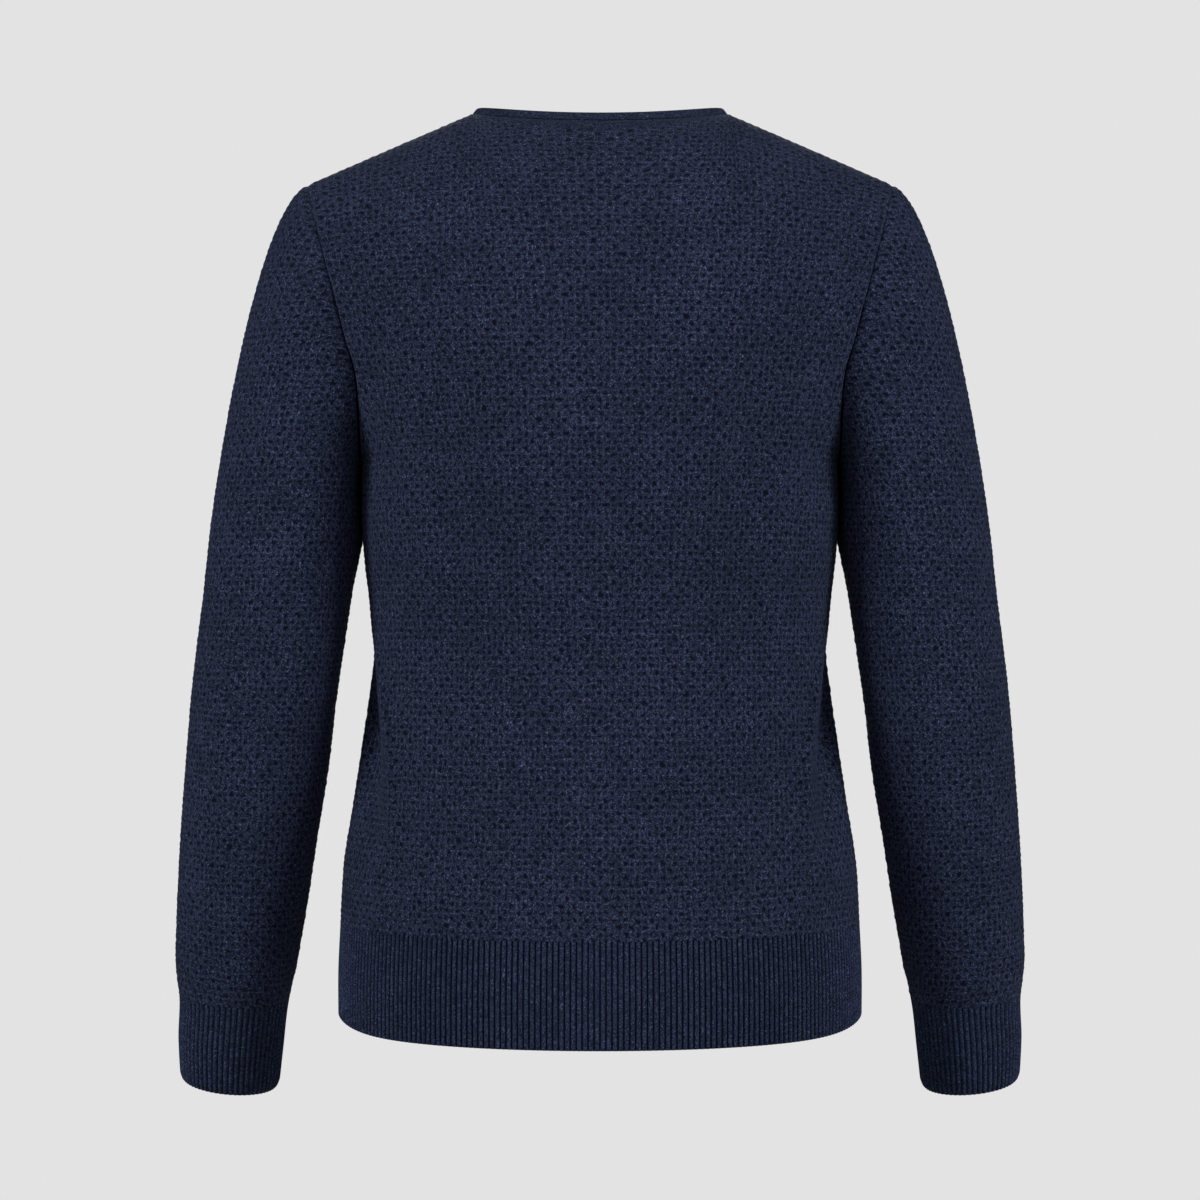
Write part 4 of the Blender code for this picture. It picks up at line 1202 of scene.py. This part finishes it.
def strip_point(x, v):
    """A point of the front at distance x from centre front, v from -1 at the hem to 4."""
    x, v = np.broadcast_arrays(x, np.asarray(v, float))
    x_side = np.where(x < 0, -1.0, 1.0)
    side = -np.ones_like(x_side)
    hem_z = HEM_TOP + np.clip(v, -1, 0) * (HEM_TOP - HEM_BOTTOM)
    z = np.where(v < 0, hem_z, row_height(v))
    half, _, _, end = body_section(side, z)
    plain = body_row(side, x_side, np.arcsin(np.abs(x) * np.sin(end) / half), z)
    neck_turn = np.arcsin(np.abs(x) / NECK_HALF)
    half, _, _, end = body_section(side, YOKE)
    yoke_turn = np.arcsin(np.abs(x) * np.sin(end) / half)
    top = neck_point(side, x_side, neck_turn)
    lean = neck_lean(side, neck_turn)
    yoke = yoke_point(side, x_side, yoke_turn, top, lean, np.clip(v - 2, 0, 1))
    band = band_point(side, x_side, neck_turn, np.clip(v - 3, 0, 1))
    lower = np.where((v <= 2)[..., None], plain, yoke)
    return np.where((v <= 3)[..., None], lower, band)


def strip_surface(half):
    return Surface(
        at=lambda u, v: strip_point(u * half, v),
        u_limits=(-1.0, 1.0),
        v_limits=(-1.0, 4.0),
        outward=1.0,
    )


def even_levels(count):
    """Levels down the front bands at even distances."""
    fine = np.linspace(-1, 4, STRIP_SAMPLES)
    running = lengths_along(strip_point(0 * fine, fine), 0)
    return np.interp(np.linspace(0, running[-1], count), running, fine)


BAND_ROWS = table(
    "name part half raised rows inner_rows rests_on",
    ("button_band", "placket_left", UNDER_HALF - SEAM_GAP, -UNDER_SUNK, 160, 60,
     ["front_panel_left", "front_panel_right"]),
    ("buttonhole_band", "placket_right", OVER_HALF, BAND_GAP + BAND_WALL, 260, 80,
     ["button_band"]),
)
for row in BAND_ROWS:
    band, base = rib_wall(row.name, strip_surface(row.half), even_levels(row.rows),
                          wall=BAND_WALL, raise_by=row.raised, inner_v=row.inner_rows)
    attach(band, "root")
    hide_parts(row.part)


# ---- The buttons ----
# Seven small dark buttons with a raised rim and four holes, moulded in navy plastic and sewn on
# through the band with a crossed thread.
BUTTON_COUNT = 7
BUTTON_RADIUS = 0.0072
BUTTON_THICKNESS = 0.0030
BUTTON_LOWEST = HEM_BOTTOM + 0.030
BUTTON_HIGHEST = -0.1010
HOLE_RADIUS = 0.0008
HOLE_OFFSET = 0.0015
THREAD_RADIUS = 0.00035
DISH = 0.62
LEVEL_SAMPLES = 1601

# The half outline from the dished middle over the rim to the foot, in radii and thicknesses
BUTTON_OUTLINE = (
    (0.0, DISH), (0.50, DISH), (0.64, 0.70), (0.74, 0.93), (0.83, 1.0), (0.92, 0.94),
    (0.98, 0.78), (1.0, 0.58), (0.98, 0.30), (0.90, 0.10), (0.78, 0.0), (0.0, 0.0),
)


def button_finish():
    """Moulded plastic with faint cloudy streaks and fine rubbing on the rim."""
    made, tree, shader = new_finish("navy_button")
    place = object_place(tree)
    cloud = speckle(tree, place, 260.0, 4.0, 0.6)
    colour = mixed(tree, ramped(tree, cloud, 0.35, 0.7), (0.006, 0.009, 0.022, 1.0),
                   (0.020, 0.027, 0.052, 1.0))
    rubbing = speckle(tree, place, 1500.0, 3.0, 0.7)
    feed_all(tree, shader, {
        "Base Color": colour,
        "Roughness": ramped(tree, rubbing, 0.3, 0.75, 0.24, 0.5),
        "Normal": bumped(tree, rubbing, 0.25, 0.0001),
        "Specular IOR Level": 0.45,
    })
    return made


def thread_finish():
    """Twisted sewing thread in the colour of the yarn."""
    made, tree, shader = new_finish("navy_thread")
    twist = speckle(tree, object_place(tree), 4000.0)
    feed_all(tree, shader, {
        "Base Color": mixed(tree, twist, (0.010, 0.014, 0.032, 1.0), (0.034, 0.042, 0.072, 1.0)),
        "Roughness": ramped(tree, twist, 0.3, 0.7, 0.55, 0.8),
    })
    return made


def turned_button():
    """The button's outline turned about its middle, with four holes cut through."""
    mesh = bpy.data.meshes.new("button_outline")
    edges = [(n, n + 1) for n in range(len(BUTTON_OUTLINE) - 1)]
    corners = [(r * BUTTON_RADIUS, 0.0, z * BUTTON_THICKNESS) for r, z in BUTTON_OUTLINE]
    mesh.from_pydata(corners, edges, [])
    blank = linked("button_blank", mesh)
    turn = blank.modifiers.new("turn", "SCREW")
    turn.steps = 48
    turn.render_steps = 48
    turn.use_merge_vertices = True
    turn.merge_threshold = 0.00001
    drills = []
    for x, y in ((1, 1), (-1, 1), (-1, -1), (1, -1)):
        drill_mesh = bpy.data.meshes.new("drill")
        shape = bmesh.new()
        bmesh.ops.create_cone(shape, cap_ends=True, segments=16, radius1=HOLE_RADIUS,
                              radius2=HOLE_RADIUS, depth=3 * BUTTON_THICKNESS)
        bmesh.ops.translate(shape, verts=shape.verts, vec=(x * HOLE_OFFSET, y * HOLE_OFFSET, 0))
        shape.to_mesh(drill_mesh)
        shape.free()
        drill = linked("drill", drill_mesh)
        cut = blank.modifiers.new("hole", "BOOLEAN")
        cut.operation = "DIFFERENCE"
        cut.object = drill
        drills.append(drill)
    graph = bpy.context.evaluated_depsgraph_get()
    made = bpy.data.meshes.new_from_object(blank.evaluated_get(graph))
    for thing in [blank, *drills]:
        bpy.data.objects.remove(thing)
    made.shade_smooth()
    made.set_sharp_from_angle(angle=math.radians(38))
    return made


def crossed_thread():
    """Two stitches that cross over the four holes and pass down through them to the band."""
    top = DISH * BUTTON_THICKNESS + THREAD_RADIUS
    stitches = []
    for turn, lift in ((45, 0.0), (135, 1.6 * THREAD_RADIUS)):
        reach = HOLE_OFFSET * math.sqrt(2)
        along = Vector((math.cos(math.radians(turn)), math.sin(math.radians(turn)), 0))
        route = [(-reach, -0.0008), (-reach, 0.6 * top), (-0.8 * reach, top + lift)]
        route += [(0.0, top + 0.0002 + lift)]
        route += [(-a, b) for a, b in route[2::-1]]
        curve = bpy.data.curves.new("thread_route", "CURVE")
        curve.dimensions = "3D"
        curve.bevel_depth = THREAD_RADIUS
        curve.bevel_resolution = 2
        curve.use_fill_caps = True
        spline = curve.splines.new("POLY")
        spline.points.add(len(route) - 1)
        for knot, (a, b) in zip(spline.points, route):
            knot.co = (*(along * a + Vector((0, 0, b))), 1.0)
        stitches.append(linked("thread_route", curve))
    graph = bpy.context.evaluated_depsgraph_get()
    joined = bmesh.new()
    for holder in stitches:
        joined.from_mesh(bpy.data.meshes.new_from_object(holder.evaluated_get(graph)))
        bpy.data.objects.remove(holder)
    bmesh.ops.remove_doubles(joined, verts=joined.verts, dist=0.00001)
    bmesh.ops.recalc_face_normals(joined, faces=joined.faces)
    mesh = bpy.data.meshes.new("crossed_thread")
    joined.to_mesh(mesh)
    joined.free()
    mesh.shade_smooth()
    return mesh


button_mesh = turned_button()
button_mesh.materials.append(button_finish())
thread_mesh = crossed_thread()
thread_mesh.materials.append(thread_finish())
strip = strip_surface(OVER_HALF)
fine_levels = np.linspace(-1, 3, LEVEL_SAMPLES)
centre_line = strip_point(0 * fine_levels, fine_levels)
for number in range(BUTTON_COUNT):
    height = BUTTON_HIGHEST + (BUTTON_LOWEST - BUTTON_HIGHEST) * number / (BUTTON_COUNT - 1)
    level = np.array(np.interp(height, centre_line[:, 2], fine_levels))
    out = Vector(facing(strip, np.array(0.0), level).tolist())
    seat = Vector(strip_point(np.array(0.0), level).tolist()) + out * (BAND_WALL + 3 * BAND_GAP)
    place = Matrix.Translation(seat) @ out.to_track_quat("Z", "Y").to_matrix().to_4x4()
    for label, mesh in (("button_disc", button_mesh), ("button_thread", thread_mesh)):
        piece = linked(f"{label}_{number + 1}", mesh)
        piece.matrix_world = place
        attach(piece, "root")
        if mesh is button_mesh:
            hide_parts(f"button_{number + 1}")


# ---- The studio ----
# A pale floor well below the cardigan, a pale room, and wide soft lights on both sides of the
# camera and above, with the camera level and square to the back.
CAMERA_DISTANCE = 2.0
CAMERA_HEIGHT = -0.3193
FRAME_WIDTH = 0.792
SENSOR = 36.0
FLOOR_HEIGHT = -1.42
FLOOR_RADIUS = 3.2
ROOM_COLOUR = (0.768, 0.768, 0.768, 1.0)

bpy.context.scene.view_settings.view_transform = "Standard"
camera_data = bpy.data.cameras.new("camera")
camera_data.sensor_width = SENSOR
camera_data.lens = SENSOR * CAMERA_DISTANCE / FRAME_WIDTH
camera = linked("camera", camera_data)
camera.location = (0.0, CAMERA_DISTANCE, CAMERA_HEIGHT)
camera.rotation_euler = (math.pi / 2, 0.0, math.pi)
bpy.context.scene.camera = camera

floor_mesh = bpy.data.meshes.new("floor")
shape = bmesh.new()
bmesh.ops.create_circle(shape, cap_ends=True, segments=96, radius=FLOOR_RADIUS)
shape.to_mesh(floor_mesh)
shape.free()
floor_finish, tree, shader = new_finish("pale_floor")
grain = speckle(tree, object_place(tree), 6.0, 4.0)
feed_all(tree, shader, {
    "Base Color": mixed(tree, grain, (0.36, 0.36, 0.36, 1.0), (0.40, 0.40, 0.40, 1.0)),
    "Roughness": 0.9,
    "Emission Color": (0.5, 0.5, 0.5, 1.0),
    "Emission Strength": tree.nodes.new("ShaderNodeLightPath").outputs["Is Camera Ray"],
})
floor_mesh.materials.append(floor_finish)
floor = linked("floor", floor_mesh)
floor.location = (0.0, 0.0, FLOOR_HEIGHT)

world = bpy.data.worlds.new("pale_room")
bpy.context.scene.world = world
world.use_nodes = True
room = world.node_tree.nodes["Background"]
room.inputs["Color"].default_value = ROOM_COLOUR
seen = world.node_tree.nodes.new("ShaderNodeLightPath").outputs["Is Camera Ray"]
feed(world.node_tree, room.inputs["Strength"], ramped(world.node_tree, seen, 0.0, 1.0, 0.02, 1.0))

LIGHT_ROWS = table(
    "name x y z size power",
    ("softbox_left", 2.5, 1.5, 0.55, 1.0, 41.5),
    ("softbox_right", -2.5, 1.5, 0.55, 1.0, 41.5),
    ("fill_left", 0.9, 1.6, 0.5, 1.0, 3.5),
    ("fill_right", -0.9, 1.6, 0.5, 1.0, 3.5),
    ("softbox_top", 0.0, 0.3, 2.4, 1.4, 6.0),
    ("softbox_front", 0.0, -2.6, 0.9, 1.4, 60.0),
)
for row in LIGHT_ROWS:
    lamp = bpy.data.lights.new(row.name, "AREA")
    lamp.shape = "DISK"
    lamp.size = row.size
    lamp.energy = row.power
    holder = linked(row.name, lamp)
    holder.location = (row.x, row.y, row.z)
    aim = Vector((0.0, 0.0, CAMERA_HEIGHT)) - holder.location
    holder.rotation_euler = aim.to_track_quat("-Z", "Y").to_euler()
